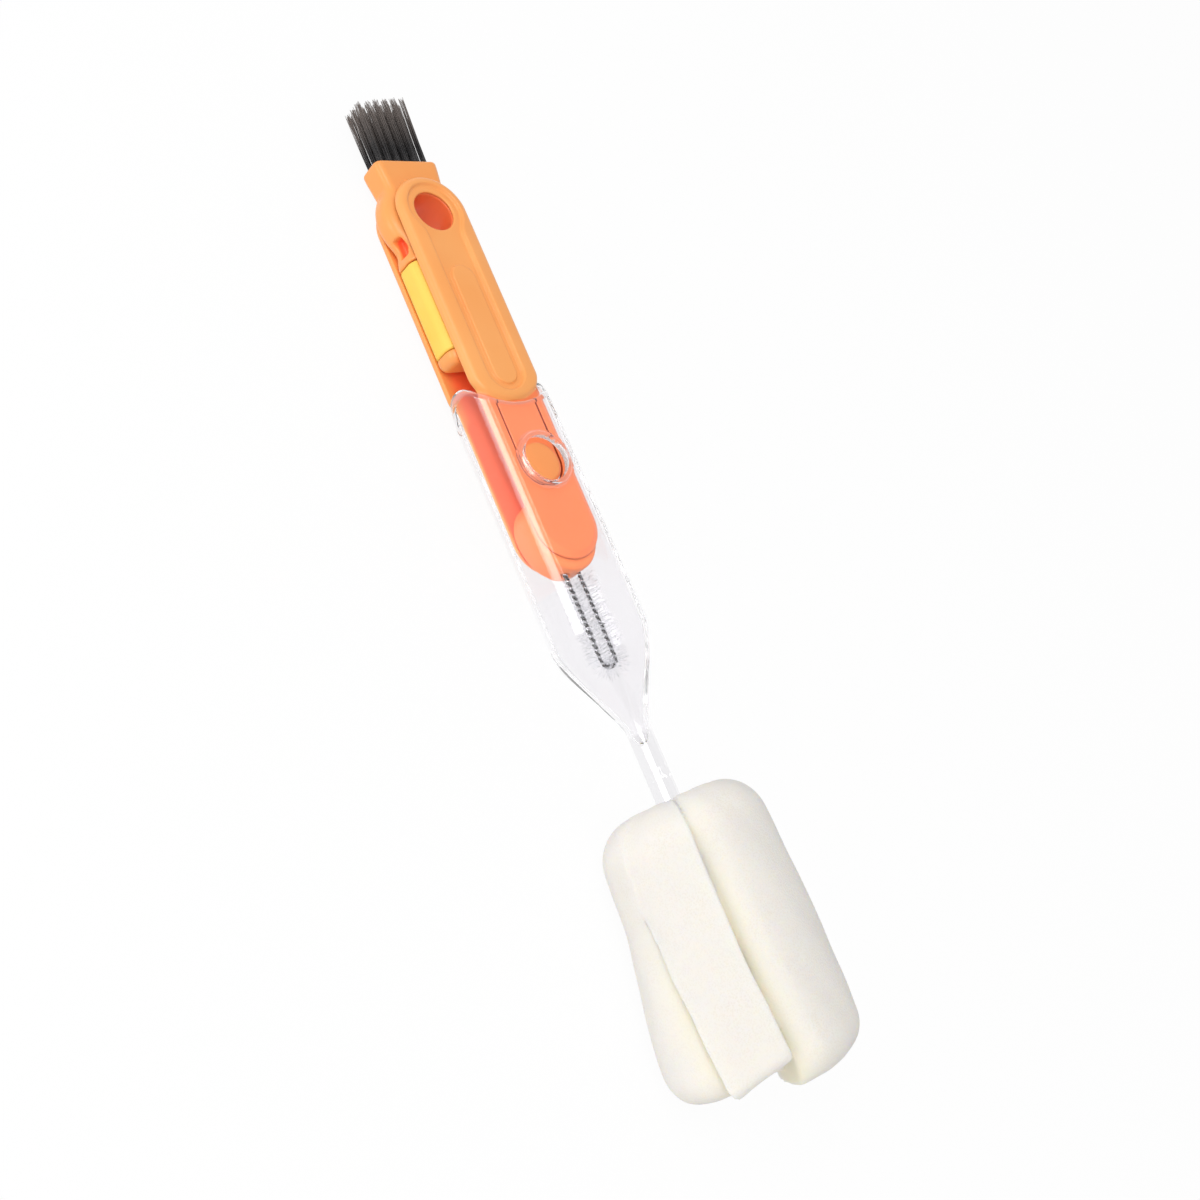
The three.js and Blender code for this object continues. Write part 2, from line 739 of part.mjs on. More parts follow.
function spongeHead() {
  const bore = stemRadius + fit;
  const barbBore = barbRadius + fit;
  const barbTop = stemTip - stemNose.length - barbCount * barbPitch;
  const inside = [
    [stemTip + fit, barbBore],
    [barbTop, barbBore],
    [barbTop - barbLand, bore],
    [spongeTop + fit, bore],
  ];
  return loft([
    ...inside.map(([x, radius]) => spongeRing(x, radius, false)),
    ...spongeProfile.map(([x, radius]) => spongeRing(x, radius, true)),
  ]);
}

function piece(name, geometry, material) {
  const mesh = new THREE.Mesh(geometry, material);
  mesh.name = name;
  return mesh;
}

function group(...pieces) {
  const made = new THREE.Group();
  made.add(...pieces);
  return made;
}

const tool = group(
  piece('front_plate', frontPlate(), orange),
  piece('back_plate', backPlate(), orange),
  piece('pivot_tube', pivotTube(), deepOrange),
  piece('loop_pin', peg(loopPivotX, 0, loopPinRadius, -loopPinHalf, loopPinHalf, 20), deepOrange),
);

const latch = group(piece('latch_tongue', latchTongue(), orange));

const rowNames = ['back', 'middle', 'front'];
const creviceBrush = group(
  piece('brush_arm', brushArm(), orange),
  piece('grip_sleeve', gripSleeve(), yellow),
  ...rowNames.map((name, row) => piece(`tuft_row_${name}`, tuftRow(row), blackNylon)),
  ...eachTuft((centre, row, column) =>
    piece(`tuft_anchor_${rowNames[row]}_${column + 1}`, tuftAnchor(centre), brass)),
);

const loopBrush = group(
  piece('loop_hub', loopHub(), orange),
  piece('loop_wire_a', twistedWire(0), steel),
  piece('loop_wire_b', twistedWire(Math.PI), steel),
  piece('loop_bristles', toGeometry(loopBristles()), clearNylon),
);

const handle = group(
  piece('clear_handle', clearHandle(), clear),
  piece('sponge_head', spongeHead(), foam),
);

console.log(`least gap of a twisted wire to itself: ${leastGap(0).toFixed(2)} mm`);

// The brush lies on its back on the rim of the back plate and the belly of the sponge
const restTilt = Math.atan2(
  spongeBelly.radius - spongeSag.z - plateFace,
  spongeBelly.x + plateHalfWidth - plateEdgeRoll,
);
const brush = group(tool, latch, creviceBrush, loopBrush, handle);
brush.rotation.y = -restTilt;
const part = group(brush);
const extent = new THREE.Box3().setFromObject(part, true);
part.position.set(
  -(extent.min.x + extent.max.x) / 2,
  -(extent.min.y + extent.max.y) / 2,
  -extent.min.z,
);

export default part;
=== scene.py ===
"""Folding cup brush: its plates, brushes, clear handle and foam head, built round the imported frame."""
import json
import math

import bmesh
import bpy
import numpy as np
import openvdb
from bpy.props import FloatProperty, FloatVectorProperty, IntProperty, PointerProperty
from mathutils import Matrix, Vector


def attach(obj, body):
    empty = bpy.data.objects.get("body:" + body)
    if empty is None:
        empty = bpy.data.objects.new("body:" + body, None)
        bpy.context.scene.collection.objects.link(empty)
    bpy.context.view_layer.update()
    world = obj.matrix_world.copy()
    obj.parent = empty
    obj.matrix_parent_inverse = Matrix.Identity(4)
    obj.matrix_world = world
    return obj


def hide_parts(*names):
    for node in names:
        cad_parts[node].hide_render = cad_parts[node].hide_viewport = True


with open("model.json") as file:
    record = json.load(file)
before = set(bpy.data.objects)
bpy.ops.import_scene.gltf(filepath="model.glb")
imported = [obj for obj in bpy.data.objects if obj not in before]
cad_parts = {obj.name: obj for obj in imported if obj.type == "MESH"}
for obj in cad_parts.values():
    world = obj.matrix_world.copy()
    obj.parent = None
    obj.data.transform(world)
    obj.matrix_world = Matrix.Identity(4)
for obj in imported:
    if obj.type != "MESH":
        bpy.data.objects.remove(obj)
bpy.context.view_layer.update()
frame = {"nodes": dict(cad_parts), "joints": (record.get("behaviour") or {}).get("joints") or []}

bl_info = {
    "name": "Cup brush",
    "version": (1, 0, 0),
    "blender": (4, 5, 0),
    "location": "View3D > Sidebar > Cup brush",
    "description": "Builds a folding cup brush round its packed frame",
    "category": "Add Mesh",
}

MM = 0.001
SEED = 7
# Painted shade: black for the shade in the valleys between the twisted wires, also the dull tone of the
# wire that is painted dark.
PAINTED_BLACK_SHADE = (0.050, 0.045, 0.045, 1.0)
# Painted shade: deep red in place of the shade between the plates, under the clear sleeve, in the hanging
# hole and in the slots.
PAINTED_INSIDE_SHADE = (1.000, 0.175, 0.060, 1.0)
# Painted shade: dark red-brown for the shade in the slits round the latch and in the gaps between the
# plates and the hubs.
SHADOW = (0.420, 0.060, 0.015, 1.0)
FLOOR_GREY = (0.92, 0.92, 0.92, 1.0)

# Smoothest and roughest part of a moulded finish, and the strength of its grain.
SATIN = (0.28, 0.40, 0.12)
MATT = (0.36, 0.48, 0.12)
RUBBER = (0.45, 0.60, 0.25)

# Smoothest and roughest part of the wires and of the anchors.
DRAWN_WIRE = (0.18, 0.34)
ANCHOR_WIRE = (0.25, 0.45)

# How much a clear finish bends the light that passes it, and how much light its face throws back.
# The bend is less than that of solid plastic, so that the edges don't turn black.
WALL_CLEAR = (1.06, 1.45)
SHOULDER_CLEAR = (1.14, 1.45)
THICK_CLEAR = (1.28, 1.90)

# Axes of the brush: from the hanging hole, x towards the foam, y across the front, z out of the front.
JOINTS = {joint["name"]: joint for joint in frame["joints"]}
ALONG = Vector(JOINTS["handle_slide"]["axis"]).normalized()
OUT = Vector(JOINTS["crevice_brush_swing"]["axis"]).normalized()
ACROSS = OUT.cross(ALONG)
HOLE = Vector(JOINTS["crevice_brush_swing"]["pos_m"])
TURN = Matrix((ALONG, ACROSS, OUT)).transposed()
LOOP_PIVOT = (Vector(JOINTS["loop_brush_swing"]["pos_m"]) - HOLE).dot(ALONG)


def brush_box(node):
    """Lowest and highest corners of a node in the axes of the brush."""
    places = [TURN.transposed() @ (vertex.co - HOLE) for vertex in frame["nodes"][node].data.vertices]
    low = Vector([min(place[axis] for place in places) for axis in range(3)])
    high = Vector([max(place[axis] for place in places) for axis in range(3)])
    return low, high


def length(name, description, millimetres):
    """Length property whose default is given in millimetres."""
    return FloatProperty(name=name, description=description, default=millimetres * MM, unit="LENGTH")


def angle(name, description, degrees):
    """Angle property whose default is given in degrees."""
    return FloatProperty(
        name=name, description=description, default=math.radians(degrees), subtype="ANGLE"
    )


def colour(name, description, red, green, blue):
    """Colour property."""
    return FloatVectorProperty(
        name=name, description=description, default=(red, green, blue, 1.0), size=4, subtype="COLOR"
    )


def share(name, description, value):
    """Property without a unit."""
    return FloatProperty(name=name, description=description, default=value)


class PlateSizes(bpy.types.PropertyGroup):
    """Sizes of the front and the back plate."""

    half_width: length("Half width", "Half the width of a plate", 11.4)
    face: length("Face", "Height of the outer face above the middle", 8.0)
    gap: length("Gap", "Half the gap between the plates", 4.9)
    roll: length("Edge roll", "Roll of the outer edge", 1.9)
    crown: length("Crown", "Fall of the face towards its edge", 0.4)
    raised_end: length("Raised end", "Where the raised part ends in the middle", 60.4)
    raised_bow: length("Raised bow", "How far its end falls back at the sides", 5.0)
    raised_round: length("Raised round", "Rounding of its corners in outline", 3.4)
    insert_half_width: length("Insert half width", "Half the width of the part in the handle", 10.4)
    insert_face: length("Insert face", "Height of the face that goes in the handle", 6.6)
    insert_chamfer: length("Insert chamfer", "Width of the slope along its edge", 2.2)
    insert_fall: length("Insert fall", "Fall of that slope", 0.8)
    # Painted shade: how much deep red shade is painted on the parts under the clear sleeve.
    insert_painted_shade: share("Insert depth", "How much deeper the colour is in the handle", 0.75)
    hole_radius: length("Hole radius", "Radius of the hanging hole", 6.15)
    dish_radius: length("Dish radius", "Radius of the dish round the hanging hole", 8.5)
    channel_half_width: length("Channel half width", "Half the width of the shallow channel", 6.0)
    channel_end: length("Channel end", "Centre of the channel's round end", 51.2)
    channel_depth: length("Channel depth", "Depth of the channel", 1.05)
    channel_slope: length("Channel slope", "Width of the channel's sloping wall", 0.9)
    plaque_start: length("Plaque start", "Centre of the plaque's first round end", 21.9)
    plaque_end: length("Plaque end", "Centre of the plaque's last round end", 51.5)
    plaque_half_width: length("Plaque half width", "Half the width of the plaque", 3.9)
    plaque_rise: length("Plaque rise", "Height of the plaque above the channel", 0.75)
    slit: length("Slit", "Width of the slit round the latch tongue", 0.42)
    step: length("Step", "Spacing of the points on the surface", 0.27)


class LatchSizes(bpy.types.PropertyGroup):
    """Sizes of the latch tongue and its button."""

    root: length("Root", "Where the tongue starts", 59.4)
    half_width: length("Half width", "Half the width of the tongue", 6.4)
    face: length("Face", "Height of the tongue's face", 6.52)
    button_place: length("Button place", "Centre of the button", 79.0)
    button_radius: length("Button radius", "Radius of the button", 5.85)
    button_face: length("Button face", "Height of the button's face", 7.05)


class ArmSizes(bpy.types.PropertyGroup):
    """Sizes of the crevice brush: arm, grip and tufts."""

    half: length("Half thickness", "Half the thickness of the arm", 4.6)
    block_top: length("Block top", "Where the bristles leave the block", -18.5)
    block_foot: length("Block foot", "Where the block meets the hub", -8.4)
    block_half_width: length("Block half width", "Half the width of the block at its top", 10.7)
    block_draft: length("Block draft", "How much the block narrows towards the hub", 0.9)
    hub_radius: length("Hub radius", "Radius of the hub", 13.9)
    hub_roll: length("Hub roll", "Roll of the hub's edge", 3.6)
    hub_play: length("Hub play", "Room between the hub and a plate beyond the arm's", 0.25)
    bore_radius: length("Bore radius", "Radius of the bore on the pivot tube", 8.5)
    neck_half_width: length("Neck half width", "Half the width of the neck", 11.2)
    neck_end: length("Neck end", "Where the neck meets the grip", 13.5)
    grip_start: length("Grip start", "Where the grip starts", 13.8)
    grip_end: length("Grip end", "Where the grip ends", 41.5)
    grip_half_width: length("Grip half width", "Half the width of the grip", 12.4)
    grip_corner: length("Grip corner", "Corner radius of the grip", 3.2)
    waist_half_width: length("Waist half width", "Half the width of the waist in the grip", 9.2)
    waist_half: length("Waist half thickness", "Half the thickness of the waist", 2.6)
    tail_end: length("Tail end", "End of the arm", 45.6)
    tail_roll: length("Tail roll", "Roll of the arm's end", 2.6)
    row_pitch: length("Row pitch", "Distance between the rows of tufts", 2.5)
    column_pitch: length("Column pitch", "Distance between the tufts of a row", 3.0)
    tuft_radius: length("Tuft radius", "Radius of a tuft at the block", 0.80)
    tuft_length: length("Tuft length", "Length of the bristles", 22.6)
    tuft_ragged: length("Ragged tips", "How unevenly the bristles end", 1.3)
    tuft_slope: length("Tip slope", "How much shorter the tufts are on one side", 2.6)
    tuft_fan: share("Fan", "How much the tufts spread towards their tips", 1.08)
    tuft_lean: length("Lean", "How far the tips lean across", 0.9)
    strand_radius: length("Bristle radius", "Radius of one black bristle", 0.115)
    strands: IntProperty(name="Bristles", description="Bristles in each tuft", default=28)


class LoopSizes(bpy.types.PropertyGroup):
    """Sizes of the twisted-wire loop brush."""

    hub_radius: length("Hub radius", "Radius of the hub about its pin", 10.3)
    hub_nose: length("Hub nose", "End of the hub where the wires leave", 110.0)
    hub_half: length("Hub half thickness", "Half the thickness of the hub", 4.6)
    pin_radius: length("Pin bore", "Radius of the hub's bore on the pin", 3.4)
    socket_end: length("Socket end", "Where the wires end inside the hub", 103.0)
    half_pitch: length("Half pitch", "Half the distance between the legs", 2.3)
    tip: length("Tip", "Far end of the loop's middle line", 136.6)
    wire_radius: length("Wire radius", "Radius of one wire", 0.26)
    twist_radius: length("Twist radius", "Distance of a wire from the middle line", 0.34)
    twist_pitch: length("Twist pitch", "Length of one turn of the twist", 2.0)
    bristle_start: length("Bristle start", "Where the clear bristles start", 110.6)
    bristle_length: length("Bristle length", "Reach of a clear bristle", 4.2)
    bristle_radius: length("Bristle radius", "Radius of a clear bristle", 0.03)
    bristles: IntProperty(name="Bristles", description="Clear bristles on the loop", default=900)


class HandleSizes(bpy.types.PropertyGroup):
    """Sizes of the clear hollow handle."""

    half_width: length("Half width", "Half the outer width", 12.95)
    half_height: length("Half height", "Half the outer height", 8.85)
    wall: length("Wall", "Thickness of the wall", 1.35)
    facet: length("Facet", "Distance of the flat outer corners from the middle", 13.4)
    facet_lean: angle("Facet lean", "Angle of those corners from the front", 60.0)
    sharpness: share("Sharpness", "Power that rounds the edges between the flats", 40.0)
    mouth: length("Mouth", "Where the mouth ends in the middle of the front", 61.5)
    mouth_fall: length("Mouth fall", "How far the mouth falls back at the sides", 9.1)
    mouth_lift: share("Mouth lift", "How much less it falls back at the corners", 0.6)
    sleeve_start: length("Sleeve start", "Where the straight sleeve starts", 66.0)
    shoulder_start: length("Shoulder start", "Where the shoulder starts", 127.0)
    shoulder_end: length("Shoulder end", "Where the stem starts", 155.0)
    stem_radius: length("Stem radius", "Radius of the stem", 3.4)
    hollow_end: length("Hollow end", "Where the hollow ends in the stem", 159.0)
    hollow_radius: length("Hollow radius", "Radius of the hollow at its end", 2.0)
    stem_end: length("Stem end", "End of the stem in the foam", 214.0)
    barb_radius: length("Barb radius", "Radius of the barbs in the foam", 4.5)
    hole_place: length("Latch hole", "Centre of the latch hole", 79.0)
    hole_radius: length("Latch hole radius", "Radius of the latch hole", 6.7)
    lip: length("Lip", "Height of the lip round the latch hole", 0.6)
    lip_width: length("Lip width", "Width of that lip", 1.0)
    gate_place: length("Gate mark", "Centre of the round mark on the stem", 167.5)
    gate_radius: length("Gate radius", "Radius of the round mark on the stem", 1.6)
    columns: IntProperty(name="Columns", description="Points round the handle", default=216)


class SpongeSizes(bpy.types.PropertyGroup):
    """Sizes of the slit foam head."""

    start: length("Start", "Top of the foam", 174.8)
    start_tilt: share("Start tilt", "Slope of the top across the foam", 0.035)
    end: length("End", "Bottom of the foam", 252.0)
    top_radius: length("Top radius", "Radius near the top", 22.2)
    belly_radius: length("Belly radius", "Largest radius", 24.5)
    belly: length("Belly", "Where the foam is widest", 234.0)
    top_roll: length("Top roll", "Roll of the top edge", 11.0)
    sag_across: length("Sag across", "How far the bottom leans across", -2.0)
    sag_out: length("Sag out", "How far the bottom leans out", -1.0)
    bore_radius: length("Bore radius", "Radius of the bore for the stem", 3.3)
    bore_end: length("Bore end", "End of the bore for the stem", 216.0)
    core_radius: length("Core radius", "Radius at which the slits end", 9.0)
    edge_roll: length("Edge roll", "Roll of the cut edges", 0.8)
    unevenness: length("Unevenness", "How uneven the cut foam is", 0.3)
    step: length("Step", "Spacing of the points on the surface", 0.6)


class FinishColours(bpy.types.PropertyGroup):
    """Colours of the finishes."""

    shell: colour("Shell", "Orange of the plates", 0.960, 0.405, 0.118)
    shell_deep: colour("Shell shade", "Deeper orange of the plates", 0.945, 0.375, 0.100)
    arm: colour("Arm", "Orange of the brush arm", 0.950, 0.385, 0.105)
    arm_deep: colour("Arm shade", "Deeper orange of the brush arm", 0.925, 0.350, 0.088)
    grip: colour("Grip", "Yellow of the grip", 0.950, 0.660, 0.115)
    grip_deep: colour("Grip shade", "Deeper yellow of the grip", 0.920, 0.600, 0.085)
    bristle: colour("Bristle", "Black of the bristles", 0.022, 0.020, 0.021)
    # The bristles turn lighter and browner towards their tips.
    bristle_tip: colour("Bristle tip", "Worn tips of the bristles", 0.230, 0.190, 0.170)
    steel: colour("Steel", "Bright steel of the wires", 0.860, 0.860, 0.880)
    steel_deep: colour("Steel shade", "Dull steel of the wires", 0.600, 0.600, 0.620)
    # Painted reflection: the second wire is the same steel, painted dark in place of the dark reflections
    # along the twist.
    steel_painted_dark: colour("Dark steel", "Dark steel of the second wire", 0.200, 0.190, 0.190)
    brass: colour("Brass", "Brass of the tuft anchors", 0.700, 0.520, 0.220)
    brass_deep: colour("Brass shade", "Dull brass of the tuft anchors", 0.450, 0.320, 0.130)
    nylon: colour("Clear bristle", "Clear nylon of the loop", 0.900, 0.905, 0.930)
    clear: colour("Clear plastic", "Tint of the thin clear wall", 0.970, 0.962, 0.975)
    clear_thick: colour("Thick clear plastic", "Tint of the clear rims and stem", 0.920, 0.912, 0.928)
    clear_shade: colour("Clear shade", "Lamp light that passes a clear face", 0.980, 0.975, 0.985)
    foam: colour("Foam", "Pale foam", 0.805, 0.777, 0.735)
    # Partly random tone and partly painted shade in the pores.
    foam_deep: colour("Foam shade", "Foam in its pores", 0.765, 0.722, 0.660)
    # Painted shade: yellow tint in place of the yellowish light and shade in the recesses beside the
    # slits.
    foam_slit_shade: colour("Foam in a slit", "Yellower foam beside a slit", 0.875, 0.825, 0.650)


class StageSettings(bpy.types.PropertyGroup):
    """Camera and light."""

    azimuth: angle("Azimuth", "Turn of the camera about the object", 12.561)
    elevation: angle("Elevation", "Height of the camera above the floor", 47.403)
    roll: angle("Roll", "Roll of the camera", -60.219)
    distance: length("Distance", "Distance of the camera from its target", 401.277)
    target: FloatVectorProperty(
        name="Target",
        description="Point that the camera looks at",
        default=(13.347 * MM, 3.877 * MM, 19.955 * MM),
        subtype="TRANSLATION",
    )
    lens: share("Lens", "Focal length in millimetres on a 36 mm sensor", 45.323)
    world: share("World", "Strength of the light from the side of the lamp", 0.68)
    world_far: share("World far side", "Strength of the light from the far side", 0.56)
    top_energy: share("Top light", "Power of the lamp above in watts", 4.0)
    side_energy: share("Side light", "Power of the lamp on the left in watts", 0.9)
    top_width: length("Top lamp width", "Width of the lamp above", 320.0)
    side_width: length("Side lamp width", "Width of the lamp on the left", 140.0)
    top_length: length("Top lamp length", "Length of the lamp above", 900.0)
    side_length: length("Side lamp length", "Length of the lamp on the left", 400.0)
    lamp_distance: length("Lamp distance", "Distance of a lamp from the object", 900.0)
    floor_white: share("Floor white", "Share of plain white in the floor's look", 0.94)


class CupBrushSettings(bpy.types.PropertyGroup):
    """All the settings of the cup brush."""

    plate: PointerProperty(type=PlateSizes)
    latch: PointerProperty(type=LatchSizes)
    arm: PointerProperty(type=ArmSizes)
    loop: PointerProperty(type=LoopSizes)
    handle: PointerProperty(type=HandleSizes)
    sponge: PointerProperty(type=SpongeSizes)
    finish: PointerProperty(type=FinishColours)
    stage: PointerProperty(type=StageSettings)


# Distance fields: negative inside a solid, positive outside.

def smooth_step(low, high, value):
    """Smooth rise from 0 at low to 1 at high."""
    part = np.clip((value - low) / (high - low), 0.0, 1.0)
    return part * part * (3.0 - 2.0 * part)


def joined(first, second, fillet):
    """Two solids joined with a fillet."""
    part = np.clip(0.5 + 0.5 * (second - first) / fillet, 0.0, 1.0)
    return second + (first - second) * part - fillet * part * (1.0 - part)


def cut(solid, tool, roll):
    """A solid without the tool, with the cut's edge softened."""
    return -joined(-solid, tool, roll)


def met(first, second, roll):
    """What two solids share, with the edge between them rolled."""
    one = first + roll
    two = second + roll
    outside = np.hypot(np.maximum(one, 0.0), np.maximum(two, 0.0))
    return np.minimum(np.maximum(one, two), 0.0) + outside - roll


def stadium(x, y, start, end, radius):
    """Flat outline with two round ends."""
    return np.hypot(x - np.clip(x, start, end), y) - radius


def lattice(low, high, step):
    """Lowest corner and coordinates of an even lattice a little larger than a box."""
    spans = [np.arange(a - 3.0 * step, b + 3.0 * step, step) for a, b in zip(low, high)]
    return np.array([span[0] for span in spans]), np.meshgrid(*spans, indexing="ij")


def node_lattice(node, step):
    """Lowest corner and coordinates of a lattice round a CAD node."""
    return lattice(*brush_box(node), step)


def skin(field, low, step):
    """Points and faces of the surface of a distance field."""
    grid = openvdb.FloatGrid(3.0)
    grid.copyFromArray((field / step).astype(np.float32))
    points, triangles, quads = grid.convertToPolygons(isovalue=0.0, adaptivity=0.0)
    return low + points * step, triangles.tolist() + quads.tolist()


def make_piece(name, points, faces, material, body, slot, nodes, **values):
    """Mesh piece from points in the brush's axes, which rides on a body and stands for CAD nodes."""
    mesh = bpy.data.meshes.new(name)
    places = np.asarray(points, dtype=float) @ np.array(TURN).T + np.array(HOLE)
    mesh.from_pydata(places.tolist(), [], faces)
    edit = bmesh.new()
    edit.from_mesh(mesh)
    bmesh.ops.recalc_face_normals(edit, faces=edit.faces)
    edit.to_mesh(mesh)
    edit.free()
    mesh.shade_smooth()
    mesh.materials.append(material)
    for kind, value in values.items():
        mesh.attributes.new(kind, "FLOAT", "POINT").data.foreach_set("value", value.astype(np.float32))
    made = bpy.data.objects.new(name, mesh)
    bpy.context.scene.collection.objects.link(made)
    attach(made, body)
    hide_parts(*nodes)
    return made


# Finishes

def new_material(name):
    """Material with its node tree, shader and object coordinates."""
    material = bpy.data.materials.new(name)
    material.use_nodes = True
    tree = material.node_tree
    place = tree.nodes.new("ShaderNodeTexCoord").outputs["Object"]
    return material, tree, tree.nodes["Principled BSDF"], place


def value_of(tree, name):
    """Value that a piece carries at each point."""
    node = tree.nodes.new("ShaderNodeAttribute")
    node.attribute_name = name
    return node.outputs["Fac"]


def combine(tree, operation, first, second):
    """Two values put together, of which the second may be a plain number."""
    node = tree.nodes.new("ShaderNodeMath")
    node.operation = operation
    tree.links.new(first, node.inputs[0])
    if isinstance(second, bpy.types.NodeSocket):
        tree.links.new(second, node.inputs[1])
    else:
        node.inputs[1].default_value = second
    return node.outputs[0]


def noise(tree, place, scale, detail=2.0):
    """Noise value with so many cells in a metre."""
    node = tree.nodes.new("ShaderNodeTexNoise")
    node.inputs["Scale"].default_value = scale
    node.inputs["Detail"].default_value = detail
    tree.links.new(place, node.inputs["Vector"])
    return node.outputs["Fac"]


def spread(tree, value, from_low, from_high, to_low, to_high):
    """Value moved from one range to another."""
    node = tree.nodes.new("ShaderNodeMapRange")
    node.inputs["From Min"].default_value = from_low
    node.inputs["From Max"].default_value = from_high
    node.inputs["To Min"].default_value = to_low
    node.inputs["To Max"].default_value = to_high
    tree.links.new(value, node.inputs["Value"])
    return node.outputs["Result"]


def tint(tree, factor, first, second):
    """Colour between two colours, of which the first may come from another node."""
    node = tree.nodes.new("ShaderNodeMix")
    node.data_type = "RGBA"
    tree.links.new(factor, node.inputs["Factor"])
    if isinstance(first, bpy.types.NodeSocket):
        tree.links.new(first, node.inputs[6])
    else:
        node.inputs[6].default_value = first
    node.inputs[7].default_value = second
    return node.outputs[2]


def relief(tree, shader, height, strength, depth):
    """Fine relief on a surface."""
    node = tree.nodes.new("ShaderNodeBump")
    node.inputs["Strength"].default_value = strength
    node.inputs["Distance"].default_value = depth
    tree.links.new(height, node.inputs["Height"])
    tree.links.new(node.outputs["Normal"], shader.inputs["Normal"])


def uneven_sheen(tree, shader, unevenness, smoothest, roughest):
    """Roughness that changes over a surface."""
    sheen = spread(tree, unevenness, 0.3, 0.7, smoothest, roughest)
    tree.links.new(sheen, shader.inputs["Roughness"])


def moulded(name, light, deep, smoothest, roughest, grain):
    """Moulded plastic or rubber with colour drift and a fine grain, with painted deep red shade between
    and under other parts and painted dark shade in slits and gaps.
    """
    material, tree, shader, place = new_material(name)
    drift = spread(tree, noise(tree, place, 70.0), 0.3, 0.7, 0.0, 1.0)
    surface = tint(tree, drift, light, deep)
    # Painted shade: the inside value mixes in the deep red shade, and the groove value mixes in the dark
    # shade of slits and gaps.
    surface = tint(tree, value_of(tree, "inside"), surface, PAINTED_INSIDE_SHADE)
    tree.links.new(tint(tree, value_of(tree, "groove"), surface, SHADOW), shader.inputs["Base Color"])
    sheen = spread(tree, noise(tree, place, 420.0, 4.0), 0.25, 0.75, smoothest, roughest)
    tree.links.new(sheen, shader.inputs["Roughness"])
    relief(tree, shader, noise(tree, place, 3800.0), grain, 0.03 * MM)
    return material


def metal(name, bright, dull, smoothest, roughest):
    """Drawn metal with dull streaks and painted black shade in its grooves."""
    material, tree, shader, place = new_material(name)
    streak = spread(tree, noise(tree, place, 900.0, 3.0), 0.3, 0.7, 0.0, 1.0)
    surface = tint(tree, streak, bright, dull)
    # Painted shade: black where the piece carries the groove value.
    tree.links.new(tint(tree, value_of(tree, "groove"), surface, PAINTED_BLACK_SHADE), shader.inputs["Base Color"])
    tree.links.new(spread(tree, streak, 0.0, 1.0, smoothest, roughest), shader.inputs["Roughness"])
    shader.inputs["Metallic"].default_value = 1.0
    relief(tree, shader, noise(tree, place, 5200.0), 0.2, 0.02 * MM)
    return material


def black_nylon(finish):
    """Stiff black bristle that is lighter and browner towards its tip."""
    material, tree, shader, place = new_material("black_nylon")
    tipward = spread(tree, value_of(tree, "along"), 0.3, 1.05, 0.0, 1.0)
    tree.links.new(tint(tree, tipward, finish.bristle, finish.bristle_tip), shader.inputs["Base Color"])
    uneven_sheen(tree, shader, noise(tree, place, 1500.0), 0.3, 0.5)
    return material


def let_lamps_through(tree, shader, shade):
    """Clear material that lets the light of the lamps pass."""
    path = tree.nodes.new("ShaderNodeLightPath")
    passing = tree.nodes.new("ShaderNodeBsdfTransparent")
    passing.inputs["Color"].default_value = shade
    mixed = tree.nodes.new("ShaderNodeMixShader")
    tree.links.new(path.outputs["Is Shadow Ray"], mixed.inputs[0])
    tree.links.new(shader.outputs["BSDF"], mixed.inputs[1])
    tree.links.new(passing.outputs["BSDF"], mixed.inputs[2])
    tree.links.new(mixed.outputs["Shader"], tree.nodes["Material Output"].inputs["Surface"])


def clear_nylon(finish):
    """Fine clear bristle."""
    material, tree, shader, place = new_material("clear_nylon")
    shader.inputs["Base Color"].default_value = finish.nylon
    shader.inputs["Transmission Weight"].default_value = 0.9
    shader.inputs["IOR"].default_value = 1.15
    uneven_sheen(tree, shader, noise(tree, place, 1800.0), 0.15, 0.4)
    let_lamps_through(tree, shader, finish.nylon)
    return material


def clear_plastic(name, clear, shade, bend, gloss):
    """Clear moulded plastic with slight flow lines, which bends the light that passes it."""
    material, tree, shader, place = new_material(name)
    shader.inputs["Base Color"].default_value = clear
    shader.inputs["Transmission Weight"].default_value = 1.0
    shader.inputs["IOR"].default_value = bend
    shader.inputs["Coat Weight"].default_value = 1.0
    shader.inputs["Coat Roughness"].default_value = 0.02
    shader.inputs["Coat IOR"].default_value = gloss
    uneven_sheen(tree, shader, noise(tree, place, 260.0, 3.0), 0.01, 0.06)
    relief(tree, shader, noise(tree, place, 55.0), 0.012, 1.0 * MM)
    let_lamps_through(tree, shader, shade)
    return material


